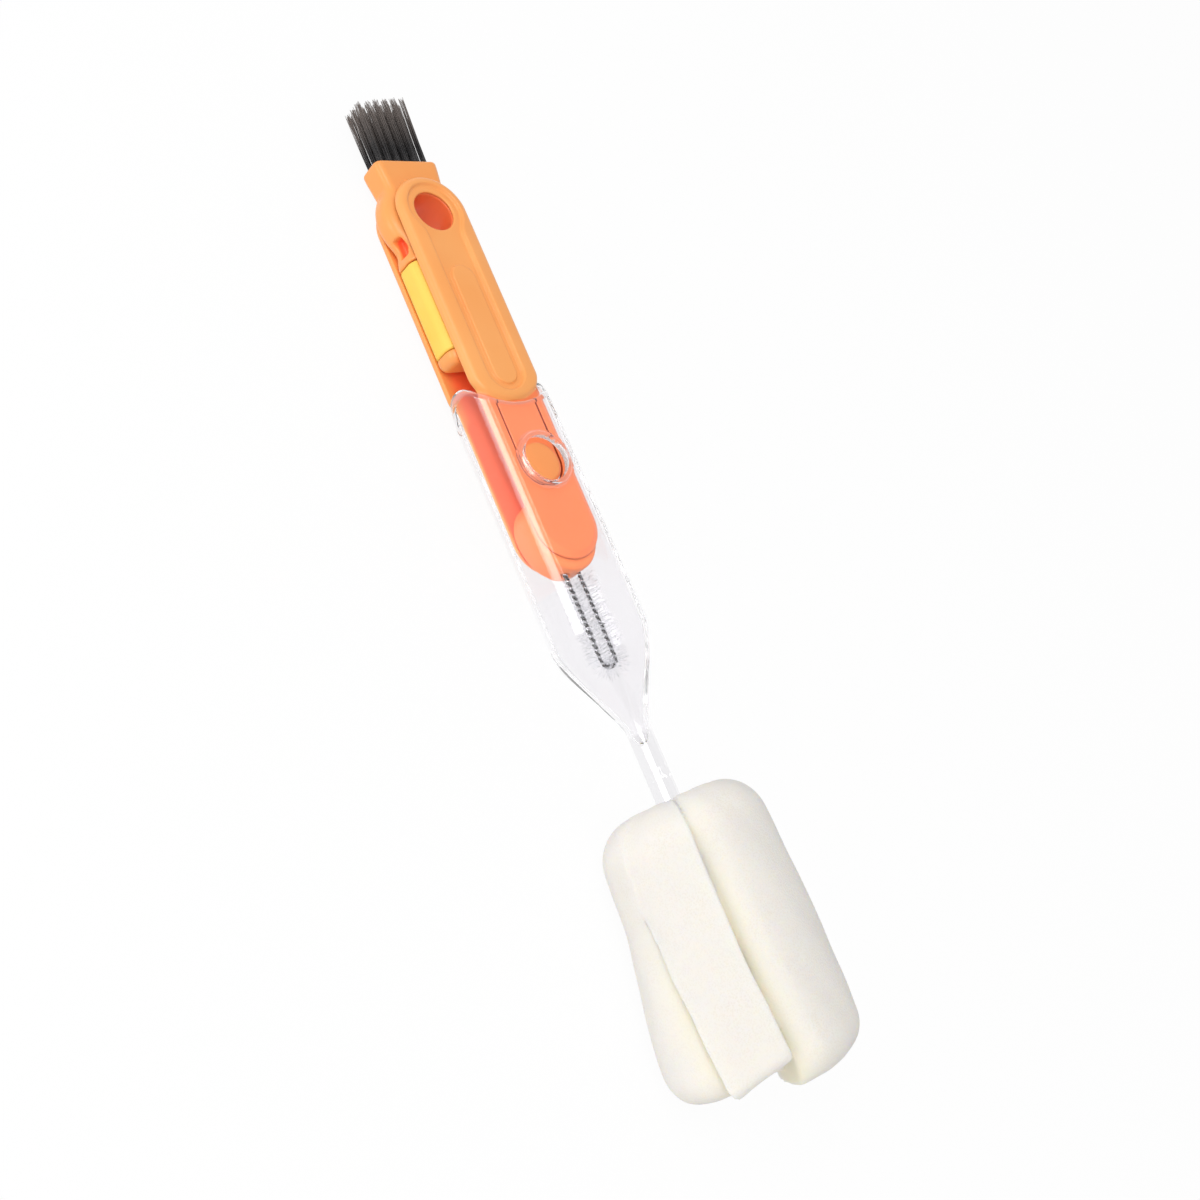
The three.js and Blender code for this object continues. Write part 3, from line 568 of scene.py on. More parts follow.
def foam(finish):
    """Fine open foam with pores, with painted shade in its pores and painted yellowish shade beside its
    slits.
    """
    material, tree, shader, place = new_material("foam")
    pores = tree.nodes.new("ShaderNodeTexVoronoi")
    pores.inputs["Scale"].default_value = 1900.0
    tree.links.new(place, pores.inputs["Vector"])
    # Painted shade in the pores, mixed with a random cloudy tone.
    pit = spread(tree, pores.outputs["Distance"], 0.0, 0.7, 1.0, 0.0)
    cloud = noise(tree, place, 130.0, 3.0)
    shaded = spread(tree, combine(tree, "MULTIPLY", pit, cloud), 0.1, 0.6, 0.0, 1.0)
    surface = tint(tree, shaded, finish.foam, finish.foam_deep)
    # Painted shade: the foam turns yellower where it falls away beside a slit.
    beside = spread(tree, value_of(tree, "recess"), 0.0, 0.9, 0.0, 1.0)
    tree.links.new(tint(tree, beside, surface, finish.foam_slit_shade), shader.inputs["Base Color"])
    uneven_sheen(tree, shader, cloud, 0.85, 1.0)
    shader.inputs["Subsurface Weight"].default_value = 0.8
    shader.inputs["Subsurface Radius"].default_value = (1.0, 0.8, 0.5)
    shader.inputs["Subsurface Scale"].default_value = 7.0 * MM
    relief(tree, shader, pores.outputs["Distance"], 0.3, 0.2 * MM)
    return material


def refinish(node, material):
    """Give a CAD node that stays in sight a finish."""
    node.data.materials.clear()
    node.data.materials.append(material)


def settings(context):
    """Settings of the cup brush in the scene."""
    return context.scene.cup_brush


# Shapes

# Seats in a plate for the pivot tube and the loop's pin: radius, and height of the end above the middle.
TUBE_SEAT = (8.5 * MM, 6.2 * MM)
PIN_SEAT = (3.5 * MM, 5.9 * MM)
# Start of the part that goes in the handle, hidden in the raised part.
INSERT_START = 45.0 * MM


def plate_body(x, y, z, plate, top):
    """One plate with its outer face towards +z, its hanging hole and its pivot seats."""
    end = plate.raised_end - plate.raised_bow * (y / plate.half_width) ** 2
    outline = met(stadium(x, y, 0.0, 1.0, plate.half_width), x - end, plate.raised_round)
    pillow = plate.crown * smooth_step(-5.0 * MM, 0.0, outline)
    raised = met(outline, z - top + pillow, plate.roll)
    inner = stadium(x, y, INSERT_START, LOOP_PIVOT, plate.insert_half_width)
    slope = plate.insert_fall * smooth_step(-plate.insert_chamfer, 0.0, inner)
    insert = met(inner, z - plate.insert_face + slope, 0.5 * MM)
    body = met(joined(raised, insert, 0.5 * MM), plate.gap - z, 0.25 * MM)
    radius = np.hypot(x, y)
    body = cut(body, radius - plate.hole_radius, 0.6 * MM)
    seat = np.maximum(radius - TUBE_SEAT[0], z - TUBE_SEAT[1])
    pin = np.maximum(np.hypot(x - LOOP_PIVOT, y) - PIN_SEAT[0], z - PIN_SEAT[1])
    return np.maximum(body, -np.minimum(seat, pin))


def between_plates(points, plate):
    """How deep each point lies in the shade between the plates."""
    open_fade, handle_fade = 5.0 * MM, 1.4 * MM
    inward = smooth_step(plate.gap + 0.5 * MM, plate.gap, np.abs(points[:, 2]))
    in_handle = smooth_step(plate.raised_end - 2.0 * MM, plate.raised_end + 2.0 * MM, points[:, 0])
    edge = plate.half_width + (plate.insert_half_width - plate.half_width) * in_handle
    fade = open_fade + (handle_fade - open_fade) * in_handle
    return inward * smooth_step(edge, edge - fade, np.abs(points[:, 1]))


def latch_window(x, y, plate, latch):
    """Outline of the latch tongue with its slit."""
    return stadium(x, y, latch.root, latch.button_place, latch.half_width + plate.slit)


def build_front_plate(plate, latch, material):
    """Front plate with its dish, channel, plaque and the window of the latch."""
    corner, (x, y, z) = node_lattice("front_plate", plate.step)
    radius = np.hypot(x, y)
    channel = stadium(x, y, 0.0, plate.channel_end, plate.channel_half_width)
    hollow = joined(channel, radius - plate.dish_radius, 1.5 * MM)
    half_slope = plate.channel_slope / 2.0
    depth = plate.channel_depth * smooth_step(half_slope, -half_slope, hollow)
    plaque = stadium(x, y, plate.plaque_start, plate.plaque_end, plate.plaque_half_width)
    rise = plate.plaque_rise * smooth_step(0.3 * MM, -0.3 * MM, plaque)
    body = plate_body(x, y, z, plate, plate.face - depth + rise)
    window = np.maximum(latch_window(x, y, plate, latch), latch.root + 0.8 * MM - x)
    body = cut(body, window, 0.25 * MM)
    points, faces = skin(body, corner, plate.step)
    # Painted shade: deep red between the plates and on the low face under the sleeve.
    bow = plate.raised_bow * (points[:, 1] / plate.half_width) ** 2
    under = smooth_step(-0.3 * MM, 0.3 * MM, points[:, 0] - plate.raised_end + bow)
    low_face = smooth_step(plate.insert_face + 0.6 * MM, plate.insert_face + 0.1 * MM, points[:, 2])
    inside = np.maximum(between_plates(points, plate), plate.insert_painted_shade * under * low_face)
    # Painted shade: dark walls in the slit round the latch.
    in_slit = latch_window(points[:, 0], points[:, 1], plate, latch) < 0.2 * MM
    below = smooth_step(plate.insert_face - 0.05 * MM, plate.insert_face - 0.25 * MM, points[:, 2])
    groove = np.where(in_slit, below, 0.0)
    # Painted shade: a dark line along the plate's lower rim over the two hubs.
    foot = smooth_step(plate.gap + 0.4 * MM, plate.gap + 0.2 * MM, points[:, 2])
    arm_hub_end, loop_hub_start = 12.0 * MM, LOOP_PIVOT - 3.0 * MM
    over_hub = (points[:, 0] < arm_hub_end) | (points[:, 0] > loop_hub_start)
    groove = np.maximum(groove, np.where(over_hub, foot, 0.0))
    return make_piece(
        "front_shell", points, faces, material, "tool", "orange_shell", ["front_plate"],
        inside=inside, groove=groove,
    )


def build_back_plate(plate, material):
    """Back plate, which is plain."""
    corner, (x, y, z) = node_lattice("back_plate", plate.step)
    body = plate_body(x, y, -z, plate, plate.face)
    points, faces = skin(body, corner, plate.step)
    # Painted shade: deep red on the inner face between the plates.
    inside = between_plates(points, plate)
    return make_piece(
        "back_shell", points, faces, material, "tool", "orange_shell", ["back_plate"], inside=inside
    )


def build_pivot_tube(plate, material):
    """Tube round the hanging hole, with rounded rims."""
    low, high = brush_box("pivot_tube")
    step = 0.25 * MM
    corner, (x, y, z) = lattice(low, high, step)
    radius = np.hypot(x, y)
    body = met(radius - high.x, np.abs(z) - high.z, 0.4 * MM)
    body = cut(body, radius - plate.hole_radius, 0.4 * MM)
    points, faces = skin(body, corner, step)
    # Painted shade: deep red on the inner wall of the hanging hole.
    reach = np.hypot(points[:, 0], points[:, 1])
    inside = 0.8 * smooth_step(plate.hole_radius + 0.75 * MM, plate.hole_radius + 0.15 * MM, reach)
    return make_piece(
        "pivot_sleeve", points, faces, material, "tool", "orange_shell", ["pivot_tube"], inside=inside
    )


def build_latch(plate, latch, material):
    """Latch tongue with a round button."""
    low, high = brush_box("latch_tongue")
    low.x = latch.root
    step = 0.25 * MM
    corner, (x, y, z) = lattice(low, high, step)
    outline = stadium(x, y, latch.root, latch.button_place, latch.half_width)
    outline = met(outline, latch.root - x, 0.3 * MM)
    body = met(met(outline, z - latch.face, 0.3 * MM), plate.gap - z, 0.2 * MM)
    reach = np.hypot(x - latch.button_place, y)
    dome = 0.25 * MM * (reach / latch.button_radius) ** 2
    button = met(reach - latch.button_radius, z - latch.button_face + dome, 0.5 * MM)
    body = joined(body, np.maximum(button, plate.gap - z), 0.3 * MM)
    points, faces = skin(body, corner, step)
    # Painted shade: deep red under the sleeve, stronger below the button, and dark walls in the slit.
    low_face = smooth_step(latch.face + 0.3 * MM, latch.face, points[:, 2])
    inside = plate.insert_painted_shade * (0.35 + 0.65 * low_face)
    groove = smooth_step(latch.face - 0.1 * MM, latch.face - 0.3 * MM, points[:, 2])
    return make_piece(
        "latch_button", points, faces, material, "latch", "orange_shell", ["latch_tongue"],
        inside=inside, groove=groove,
    )


def bar(x, y, z, half_width, half, corner_radius, start, end, roll):
    """Bar along x with a rounded section and rolled ends."""
    section = met(np.abs(y) - half_width, np.abs(z) - half, corner_radius)
    return met(section, np.maximum(start - x, x - end), roll)


def build_arm(arm, material):
    """Brush arm: tufted block, round hub, neck with two slots, waist and tail."""
    step = 0.3 * MM
    corner, (x, y, z) = node_lattice("brush_arm", step)
    draft = arm.block_draft * smooth_step(arm.block_top, arm.block_foot, x)
    block_width = arm.block_half_width - draft
    block_half = arm.half - 0.3 * draft
    block = bar(x, y, z, block_width, block_half, 2.2 * MM, arm.block_top, 0.0, 1.0 * MM)
    radius = np.hypot(x, y)
    hub = met(radius - arm.hub_radius, np.abs(z) - arm.half + arm.hub_play, arm.hub_roll)
    widening = smooth_step(7.0 * MM, arm.neck_end, x)
    neck_width = arm.neck_half_width + (arm.grip_half_width - arm.neck_half_width) * widening
    neck_half = arm.half - 0.3 * MM * (1.0 - widening)
    neck = bar(x, y, z, neck_width, neck_half, 3.2 * MM, 0.0, arm.neck_end, 0.4 * MM)
    body = joined(joined(np.maximum(block, x), hub, 0.9 * MM), neck, 1.2 * MM)
    waist_end = arm.tail_end - 2.0 * MM
    waist = bar(x, y, z, arm.waist_half_width, arm.waist_half, 1.5 * MM, 0.0, waist_end, 0.3 * MM)
    tail = bar(
        x, y, z, arm.grip_half_width, arm.half, arm.grip_corner, 0.0, arm.tail_end, arm.tail_roll
    )
    tail = met(tail, arm.grip_end + 0.3 * MM - x, 0.3 * MM)
    body = np.minimum(body, np.minimum(waist, tail))
    body = cut(body, radius - arm.bore_radius, 0.4 * MM)
    slot_middle, slot_half_length, slot_floor = 8.35 * MM, 2.85 * MM, 9.2 * MM
    slot_level, slot_half = 1.2 * MM, 1.6 * MM
    slot = met(np.abs(x - slot_middle) - slot_half_length, np.abs(z - slot_level) - slot_half, 0.6 * MM)
    slot = met(slot, slot_floor - np.abs(y), 0.6 * MM)
    body = cut(body, slot, 0.5 * MM)
    across = np.abs(y) - arm.column_pitch / 2.0
    across = across - arm.column_pitch * np.clip(np.round(across / arm.column_pitch), 0.0, 2.0)
    outward = z - arm.row_pitch * np.clip(np.round(z / arm.row_pitch), -1.0, 1.0)
    holes = np.maximum(np.hypot(across, outward) - 1.05 * MM, x - arm.block_top - 1.2 * MM)
    body = cut(body, holes, 0.3 * MM)
    points, faces = skin(body, corner, step)
    # Painted shade: deep red on the walls inside the slots.
    in_slot = np.abs(points[:, 0] - slot_middle) < slot_half_length + 0.35 * MM
    in_slot &= np.abs(points[:, 2] - slot_level) < slot_half + 0.3 * MM
    deep = smooth_step(arm.neck_half_width, arm.neck_half_width - 0.6 * MM, np.abs(points[:, 1]))
    inside = np.where(in_slot, deep, 0.0)
    return make_piece(
        "arm_body", points, faces, material, "crevice_brush", "orange_arm", ["brush_arm"], inside=inside
    )


def build_grip(arm, material):
    """Yellow grip round the waist of the arm."""
    step = 0.3 * MM
    corner, (x, y, z) = node_lattice("grip_sleeve", step)
    body = bar(
        x, y, z, arm.grip_half_width, arm.half, arm.grip_corner, arm.grip_start, arm.grip_end, 0.7 * MM
    )
    waist = met(np.abs(y) - arm.waist_half_width, np.abs(z) - arm.waist_half, 1.5 * MM)
    body = cut(body, waist - 0.1 * MM, 0.3 * MM)
    points, faces = skin(body, corner, step)
    return make_piece(
        "grip_body", points, faces, material, "crevice_brush", "yellow_grip", ["grip_sleeve"]
    )


def strand(path, radii, sides):
    """Points and faces of a thin tube along a path."""
    path = np.asarray(path, dtype=float)
    heading = np.gradient(path, axis=0)
    heading /= np.linalg.norm(heading, axis=1, keepdims=True)
    aside = np.cross(heading, np.array([0.31, 0.43, 0.85]))
    aside /= np.linalg.norm(aside, axis=1, keepdims=True)
    above = np.cross(heading, aside)
    turn = np.linspace(0.0, 2.0 * np.pi, sides, endpoint=False)
    ring = np.cos(turn)[None, :, None] * aside[:, None] + np.sin(turn)[None, :, None] * above[:, None]
    points = (path[:, None] + ring * np.asarray(radii)[:, None, None]).reshape(-1, 3)
    faces = []
    for i in range(len(path) - 1):
        for j in range(sides):
            k = (j + 1) % sides
            faces.append((i * sides + j, i * sides + k, (i + 1) * sides + k, (i + 1) * sides + j))
    last = (len(path) - 1) * sides
    faces.append(tuple(range(sides))[::-1])
    faces.append(tuple(range(last, last + sides)))
    return points, faces


def gather(parts):
    """Several meshes put in one."""
    points = []
    faces = []
    count = 0
    for part_points, part_faces in parts:
        points.append(part_points)
        faces.extend(tuple(index + count for index in face) for face in part_faces)
        count += len(part_points)
    return np.concatenate(points), faces


GOLDEN_TURN = math.pi * (3.0 - math.sqrt(5.0))
TUFT_COLUMNS = 6


def build_tuft_row(arm, name, row, material):
    """Row of tufts of stiff bristles with ragged tips."""
    chance = np.random.default_rng(SEED + row)
    node = "tuft_row_" + name
    farthest = brush_box(node)[0].x
    parts = []
    along = []
    sides = 5
    rings = np.linspace(0.0, 1.0, 7)
    level = (row - 1) * arm.row_pitch
    last = TUFT_COLUMNS - 1
    for column in range(TUFT_COLUMNS):
        centre = (column - last / 2.0) * arm.column_pitch
        for number in range(arm.strands):
            reach = arm.tuft_radius * math.sqrt((number + 0.5) / arm.strands)
            turn = number * GOLDEN_TURN
            root_y = centre + reach * math.cos(turn)
            root = np.array([arm.block_top + 1.0 * MM, root_y, level + reach * math.sin(turn)])
            short = arm.tuft_ragged * chance.random() ** 1.5
            short += arm.tuft_slope * (1.0 - column / last) ** 1.5
            tip_x = max(arm.block_top - arm.tuft_length + short, farthest)
            lean = chance.normal(0.0, 0.16 * MM, 2)
            bow = chance.normal(0.0, 0.1 * MM, 2)
            tip_y = root[1] * arm.tuft_fan + arm.tuft_lean + lean[0]
            tip = np.array([tip_x, tip_y, root[2] * arm.tuft_fan + lean[1]])
            path = root + (tip - root) * rings[:, None]
            path[:, 1:] += bow * np.sin(np.pi * rings)[:, None]
            radii = arm.strand_radius * (1.0 - 0.45 * rings ** 2)
            parts.append(strand(path, radii, sides))
            along.append(np.repeat(rings, sides))
    points, faces = gather(parts)
    along = np.concatenate(along)
    return make_piece(
        "tufts_" + name, points, faces, material, "crevice_brush", "black_bristle", [node], along=along
    )


def build_loop_hub(loop, material):
    """Hub of the loop brush, drawn out to a nose with two wire sockets."""
    step = 0.3 * MM
    corner, (x, y, z) = node_lattice("loop_hub", step)
    ahead = x - LOOP_PIVOT
    stretch = (loop.hub_nose - LOOP_PIVOT) / loop.hub_radius
    ahead = np.where(ahead > 0.0, ahead / stretch, ahead)
    outline = np.hypot(ahead, y) - loop.hub_radius
    body = met(outline, np.abs(z) - loop.hub_half, 1.2 * MM)
    body = cut(body, np.hypot(x - LOOP_PIVOT, y) - loop.pin_radius, 0.3 * MM)
    sockets = np.maximum(np.hypot(np.abs(y) - loop.half_pitch, z) - 1.1 * MM, loop.socket_end - x)
    body = cut(body, sockets, 0.3 * MM)
    points, faces = skin(body, corner, step)
    # Painted shade: deep red all over the hub, which sits under the clear sleeve.
    inside = np.full(len(points), 0.6)
    return make_piece(
        "loop_block", points, faces, material, "loop_brush", "orange_arm", ["loop_hub"], inside=inside
    )


def loop_lengths(loop):
    """Length of one leg of the loop's middle line, and of the whole line."""
    leg = loop.tip - loop.half_pitch - loop.socket_end
    return leg, 2.0 * leg + math.pi * loop.half_pitch


def loop_line(loop, distance):
    """Points and outward directions along the loop's middle line."""
    leg, whole = loop_lengths(loop)
    turn = np.clip((distance - leg) / loop.half_pitch, 0.0, math.pi)
    outward = np.stack([np.sin(turn), -np.cos(turn), np.zeros_like(turn)], axis=1)
    point = outward * loop.half_pitch
    point[:, 0] += loop.socket_end + np.minimum(np.minimum(distance, whole - distance), leg)
    return point, outward


def build_loop_wire(loop, name, phase, material):
    """One of the two wires twisted round the loop's middle line."""
    stations, sides = 720, 12
    distance = np.linspace(0.0, loop_lengths(loop)[1], stations)
    point, outward = loop_line(loop, distance)
    turn = distance / loop.twist_pitch * 2.0 * math.pi + phase
    path = point + loop.twist_radius * np.cos(turn)[:, None] * outward
    path[:, 2] += loop.twist_radius * np.sin(turn)
    points, faces = strand(path, np.full(stations, loop.wire_radius), sides)
    # Painted shade: the wire turns dark where its surface faces into the valleys of the twist.
    reach = np.linalg.norm(points - np.repeat(point, sides, axis=0), axis=1)
    groove_top = loop.twist_radius + 0.6 * loop.wire_radius
    groove_foot = loop.twist_radius - 0.2 * loop.wire_radius
    groove = smooth_step(groove_top, groove_foot, reach)
    node = "loop_wire_" + name
    return make_piece(
        "wire_" + name, points, faces, material, "loop_brush", "twisted_steel", [node], groove=groove
    )


def build_loop_bristles(loop, material):
    """Fine clear bristles between the wires, shorter towards the inside of the loop."""
    chance = np.random.default_rng(SEED)
    start = loop.bristle_start - loop.socket_end
    distance = np.linspace(start, loop_lengths(loop)[1] - start, loop.bristles)
    point, outward = loop_line(loop, distance)
    rings = np.linspace(-1.0, 1.0, 5)
    least, clearance = 0.05, 0.7 * MM
    parts = []
    for i in range(loop.bristles):
        turn = 2.0 * math.pi * chance.random()
        direction = math.cos(turn) * outward[i] + math.sin(turn) * np.array([0.0, 0.0, 1.0])
        reach = loop.bristle_length * (1.0 - 0.15 * chance.random(2))
        inward = -direction.dot(outward[i]) * np.array([-1.0, 1.0])
        space = (loop.half_pitch - clearance) / np.maximum(inward, least)
        room = np.where(inward > least, space, reach)
        reach = np.minimum(reach, room)
        bow = chance.normal(0.0, 0.25 * MM, 3)
        sides = np.where(rings < 0.0, reach[0], reach[1]) * rings
        path = point[i] + direction * sides[:, None] + bow * (rings ** 2)[:, None]
        parts.append(strand(path, np.full(len(rings), loop.bristle_radius), 4))
    points, faces = gather(parts)
    return make_piece(
        "loop_fringe", points, faces, material, "loop_brush", "clear_bristle", ["loop_bristles"]
    )


def even_ring(reach, count):
    """Evenly spaced points round the middle, from the front, at the distance that reach gives."""
    fine_steps = 1440
    turn = np.linspace(0.0, 2.0 * np.pi, fine_steps + 1)
    far = reach(np.abs(np.sin(turn)), np.abs(np.cos(turn)))
    y = far * np.sin(turn)
    z = far * np.cos(turn)
    run = np.concatenate([[0.0], np.cumsum(np.hypot(np.diff(y), np.diff(z)))])
    even = np.linspace(0.0, run[-1], count, endpoint=False)
    return np.interp(even, run, y), np.interp(even, run, z)


def round_ring(radius, count):
    """Evenly spaced points round a circle."""
    return even_ring(lambda across, upward: radius + 0.0 * across, count)


def handle_ring(handle, x, inset):
    """One ring of the handle at x, moved in by inset: a rectangle with flat corners, round at the stem."""
    part = smooth_step(handle.shoulder_start, handle.shoulder_end, x)
    width = handle.half_width + (handle.stem_radius - handle.half_width) * part - inset
    height = handle.half_height + (handle.stem_radius - handle.half_height) * part - inset
    facet = handle.facet + (1.15 * handle.stem_radius - handle.facet) * part - inset
    power = handle.sharpness + (2.0 - handle.sharpness) * part

    def reach(across, upward):
        """Distance to the wall in one direction."""
        lean = across * math.sin(handle.facet_lean) + upward * math.cos(handle.facet_lean)
        flats = (across / width) ** power + (upward / height) ** power
        return (flats + (1.0 - part) * (lean / facet) ** power) ** (-1.0 / power)

    y, z = even_ring(reach, handle.columns)
    return np.stack([np.full(handle.columns, x), y, z], axis=1)


def mouth_edge(handle, ring):
    """Ring moved to the wavy edge of the mouth."""
    across = ring[:, 1] / handle.half_width
    upward = ring[:, 2] / handle.half_height
    ring = ring.copy()
    fall = handle.mouth_fall * across ** 2 * (1.0 - handle.mouth_lift * upward ** 2)
    ring[:, 0] = handle.mouth - fall
    return ring


BARB_FEET = (184.0 * MM, 194.0 * MM, 204.0 * MM)


def stem_rings(handle):
    """Rings of the stem from the shoulder to its tip, with a gate mark, and barbs inside the foam."""
    rings = []
    for x in np.arange(handle.shoulder_end + 1.0 * MM, BARB_FEET[0] - 2.0 * MM, 0.5 * MM):
        rings.append((x, handle.stem_radius))
    for foot in BARB_FEET:
        rings.append((foot, handle.stem_radius))
        rings.append((foot + 0.3 * MM, handle.barb_radius))
        rings.append((foot + 1.2 * MM, handle.barb_radius))
        rings.append((foot + 6.0 * MM, handle.stem_radius))
    rings.append((handle.stem_end - 1.0 * MM, handle.stem_radius))
    rings.append((handle.stem_end - 0.3 * MM, handle.stem_radius - 0.4 * MM))
    rings.append((handle.stem_end, handle.stem_radius - 1.2 * MM))
    made = []
    for x, radius in rings:
        y, z = round_ring(radius, handle.columns)
        away = np.where(z > 0.0, np.hypot(x - handle.gate_place, y), 1.0)
        mark = smooth_step(handle.gate_radius + 0.3 * MM, handle.gate_radius - 0.3 * MM, away)
        grow = 1.0 + 0.09 * mark
        made.append(np.stack([np.full(handle.columns, x), y * grow, z * grow], axis=1))
    return made


def wall_height(handle, y, inset):
    """Height of the front wall at y."""
    ring = handle_ring(handle, handle.hole_place, inset)
    front = ring[ring[:, 2] > 0.0]
    order = np.argsort(front[:, 1])
    return np.interp(y, front[order, 1], front[order, 2])


def build_handle(handle, finishes):
    """Clear hollow handle with a wavy mouth, a lipped latch hole, a shoulder and a stem."""
    count = handle.columns
    stations = np.arange(handle.sleeve_start, handle.shoulder_end + 0.5 * MM, 1.0 * MM)
    near_mouth = np.linspace(0.0, 1.0, 7)[:-1]

    def wall_rings(inset):
        """Rings from the mouth to the end of the shoulder."""
        straight = handle_ring(handle, handle.sleeve_start, inset)
        edge = mouth_edge(handle, straight)
        edge[:, 0] += handle.wall / 2.0
        rings = [edge + (straight - edge) * part for part in near_mouth]
        thicker = smooth_step(handle.shoulder_start, handle.hollow_end, stations)
        stem_wall = handle.stem_radius - handle.hollow_radius
        for x, wall in zip(stations, handle.wall + (stem_wall - handle.wall) * thicker):
            rings.append(handle_ring(handle, x, wall if inset else 0.0))
        return rings

    outer = wall_rings(0.0)
    inner = wall_rings(handle.wall)
    rim = []
    for part in np.linspace(0.0, np.pi, 7)[1:-1]:
        middle = (outer[0] + inner[0]) / 2.0
        ring = middle + (outer[0] - inner[0]) / 2.0 * math.cos(part)
        ring[:, 0] = middle[:, 0] - handle.wall / 2.0 * math.sin(part)
        rim.append(ring)
    hollow_tip = []
    for part in np.linspace(0.0, np.pi / 2.0, 6)[1:-1]:
        y, z = round_ring(handle.hollow_radius * math.cos(part), count)
        x = handle.shoulder_end + (handle.hollow_end - handle.shoulder_end) * math.sin(part)
        hollow_tip.append(np.stack([np.full(count, x), y, z], axis=1))
    rings = stem_rings(handle)[::-1] + outer[::-1] + rim + inner + hollow_tip
    points = [point for ring in rings for point in ring]

    first_outer = len(stem_rings(handle))
    first_inner = first_outer + len(outer) + len(rim)
    patch_reach = 9.0 * MM
    patch_start, patch_end = (
        len(near_mouth) + int(np.argmin(np.abs(stations - place)))
        for place in (handle.hole_place - patch_reach, handle.hole_place + patch_reach)
    )
    patch_half = round(count / 9)
    outer_row = [first_outer + len(outer) - 1 - i for i in range(len(outer))]
    inner_row = [first_inner + i for i in range(len(inner))]
    patch_rows = set(outer_row[patch_start + 1:patch_end + 1]) | set(inner_row[patch_start:patch_end])

    faces = []
    for i in range(len(rings) - 1):
        for j in range(count):
            column = j if j < count // 2 else j - count
            if i in patch_rows and -patch_half <= column < patch_half:
                continue
            k = (j + 1) % count
            faces.append((i * count + j, i * count + k, (i + 1) * count + k, (i + 1) * count + j))
    faces.append(tuple(range(count)))
    faces.append(tuple(range((len(rings) - 1) * count, len(rings) * count)))

    border = [(i, -patch_half) for i in range(patch_start, patch_end)]
    border += [(patch_end, j) for j in range(-patch_half, patch_half)]
    border += [(i, patch_half) for i in range(patch_end, patch_start, -1)]
    border += [(patch_start, j) for j in range(patch_half, -patch_half, -1)]

    def new_loop(places):
        """Adds a loop of points and returns their numbers."""
        start = len(points)
        points.extend(places)
        return list(range(start, start + len(places)))

    def bridge(first, second):
        """Faces between two loops."""
        for a in range(len(first)):
            b = (a + 1) % len(first)
            faces.append((first[a], first[b], second[b], second[a]))

    def circle(turn, radius, height):
        """Points at the same turns on a circle round the latch hole."""
        x = handle.hole_place + radius * np.cos(turn)
        return np.stack([x, radius * np.sin(turn), height], axis=1)

    def annulus(rows, inset, lip):
        """Rings from the patch's border to the edge of the hole."""
        loop = [rows[i] * count + j % count for i, j in border]
        edge = np.array([points[index] for index in loop])
        turn = np.arctan2(edge[:, 1], edge[:, 0] - handle.hole_place)
        far = np.hypot(edge[:, 0] - handle.hole_place, edge[:, 1])
        near = handle.hole_radius + 0.3 * MM
        for part in (0.2, 0.4, 0.58, 0.66, 0.73, 0.8, 0.86, 0.92, 1.0):
            radius = far + (near - far) * part
            edge_of_lip = handle.hole_radius + handle.lip_width
            rise = lip * smooth_step(edge_of_lip + 0.5 * MM, edge_of_lip, radius)
            height = wall_height(handle, radius * np.sin(turn), inset) + rise
            ring = new_loop(circle(turn, radius, height))
            bridge(loop, ring)
            loop = ring
        return loop, turn, height

    outside, turn, top = annulus(outer_row, 0.0, handle.lip)
    inside, _, bottom = annulus(inner_row, handle.wall, 0.0)
    roll, slight = 0.3 * MM, 0.09 * MM
    upper_edge = ((slight, top - slight), (0.0, top - roll))
    lower_edge = ((0.0, bottom + roll), (slight, bottom + slight))
    for grow, height in upper_edge + lower_edge:
        ring = new_loop(circle(turn, handle.hole_radius + grow, height))
        bridge(outside, ring)
        outside = ring
    bridge(outside, inside)
    made = make_piece(
        "clear_sleeve", points, faces, finishes[0], "handle", "clear_plastic", ["clear_handle"]
    )
    for finish in finishes[1:]:
        made.data.materials.append(finish)
    rim_rows = range(first_outer + len(outer) - 2, first_inner + 1)
    rim_points = range(rim_rows[0] * count, (rim_rows[-1] + 1) * count)
    for face in made.data.polygons:
        middle = np.mean([points[index] for index in face.vertices], axis=0)
        reach = np.hypot(middle[0] - handle.hole_place, middle[1])
        in_ring = middle[2] > 0.0 and reach < handle.hole_radius + 2.0 * MM
        in_rim = all(index in rim_points for index in face.vertices)
        if in_ring or in_rim or middle[0] > handle.shoulder_end + 1.0 * MM:
            face.material_index = 2
        elif middle[0] > handle.shoulder_start:
            face.material_index = 1
    return made


# Lobes of the foam between its slits: end at the first and at the last slit, slope of the end towards
# the middle, roll of the end, flare, flatness of the face, and how deep and how wide in degrees the face
# falls away towards its first and its last slit. Lengths are in millimetres.
LOBES = {
    "middle": (244.6, 248.6, 0.35, 5.0, 0.0, 0.30, (0.0, 20.0), (0.0, 20.0)),
    "left": (248.6, 246.0, 0.20, 10.0, 2.6, 0.0, (4.4, 26.0), (1.5, 15.0)),
    "back_left": (247.0, 247.0, 0.20, 10.0, 0.0, 0.0, (1.5, 15.0), (1.5, 15.0)),
    "back_right": (248.0, 248.0, 0.20, 10.0, 0.0, 0.0, (1.5, 15.0), (1.5, 15.0)),
    "right": (248.6, 251.0, 0.05, 9.0, 0.0, 0.0, (1.5, 15.0), (4.2, 20.0)),
}


# Along the brush: where the short slit deepens, where it closes, where a lobe flares, and the core's end.
SLIT_OPENS = (194.0 * MM, 228.0 * MM)
SLIT_CLOSED = (200.0 * MM, 194.0 * MM)
FLARE = (200.0 * MM, 236.0 * MM)
CORE_END = 246.0 * MM
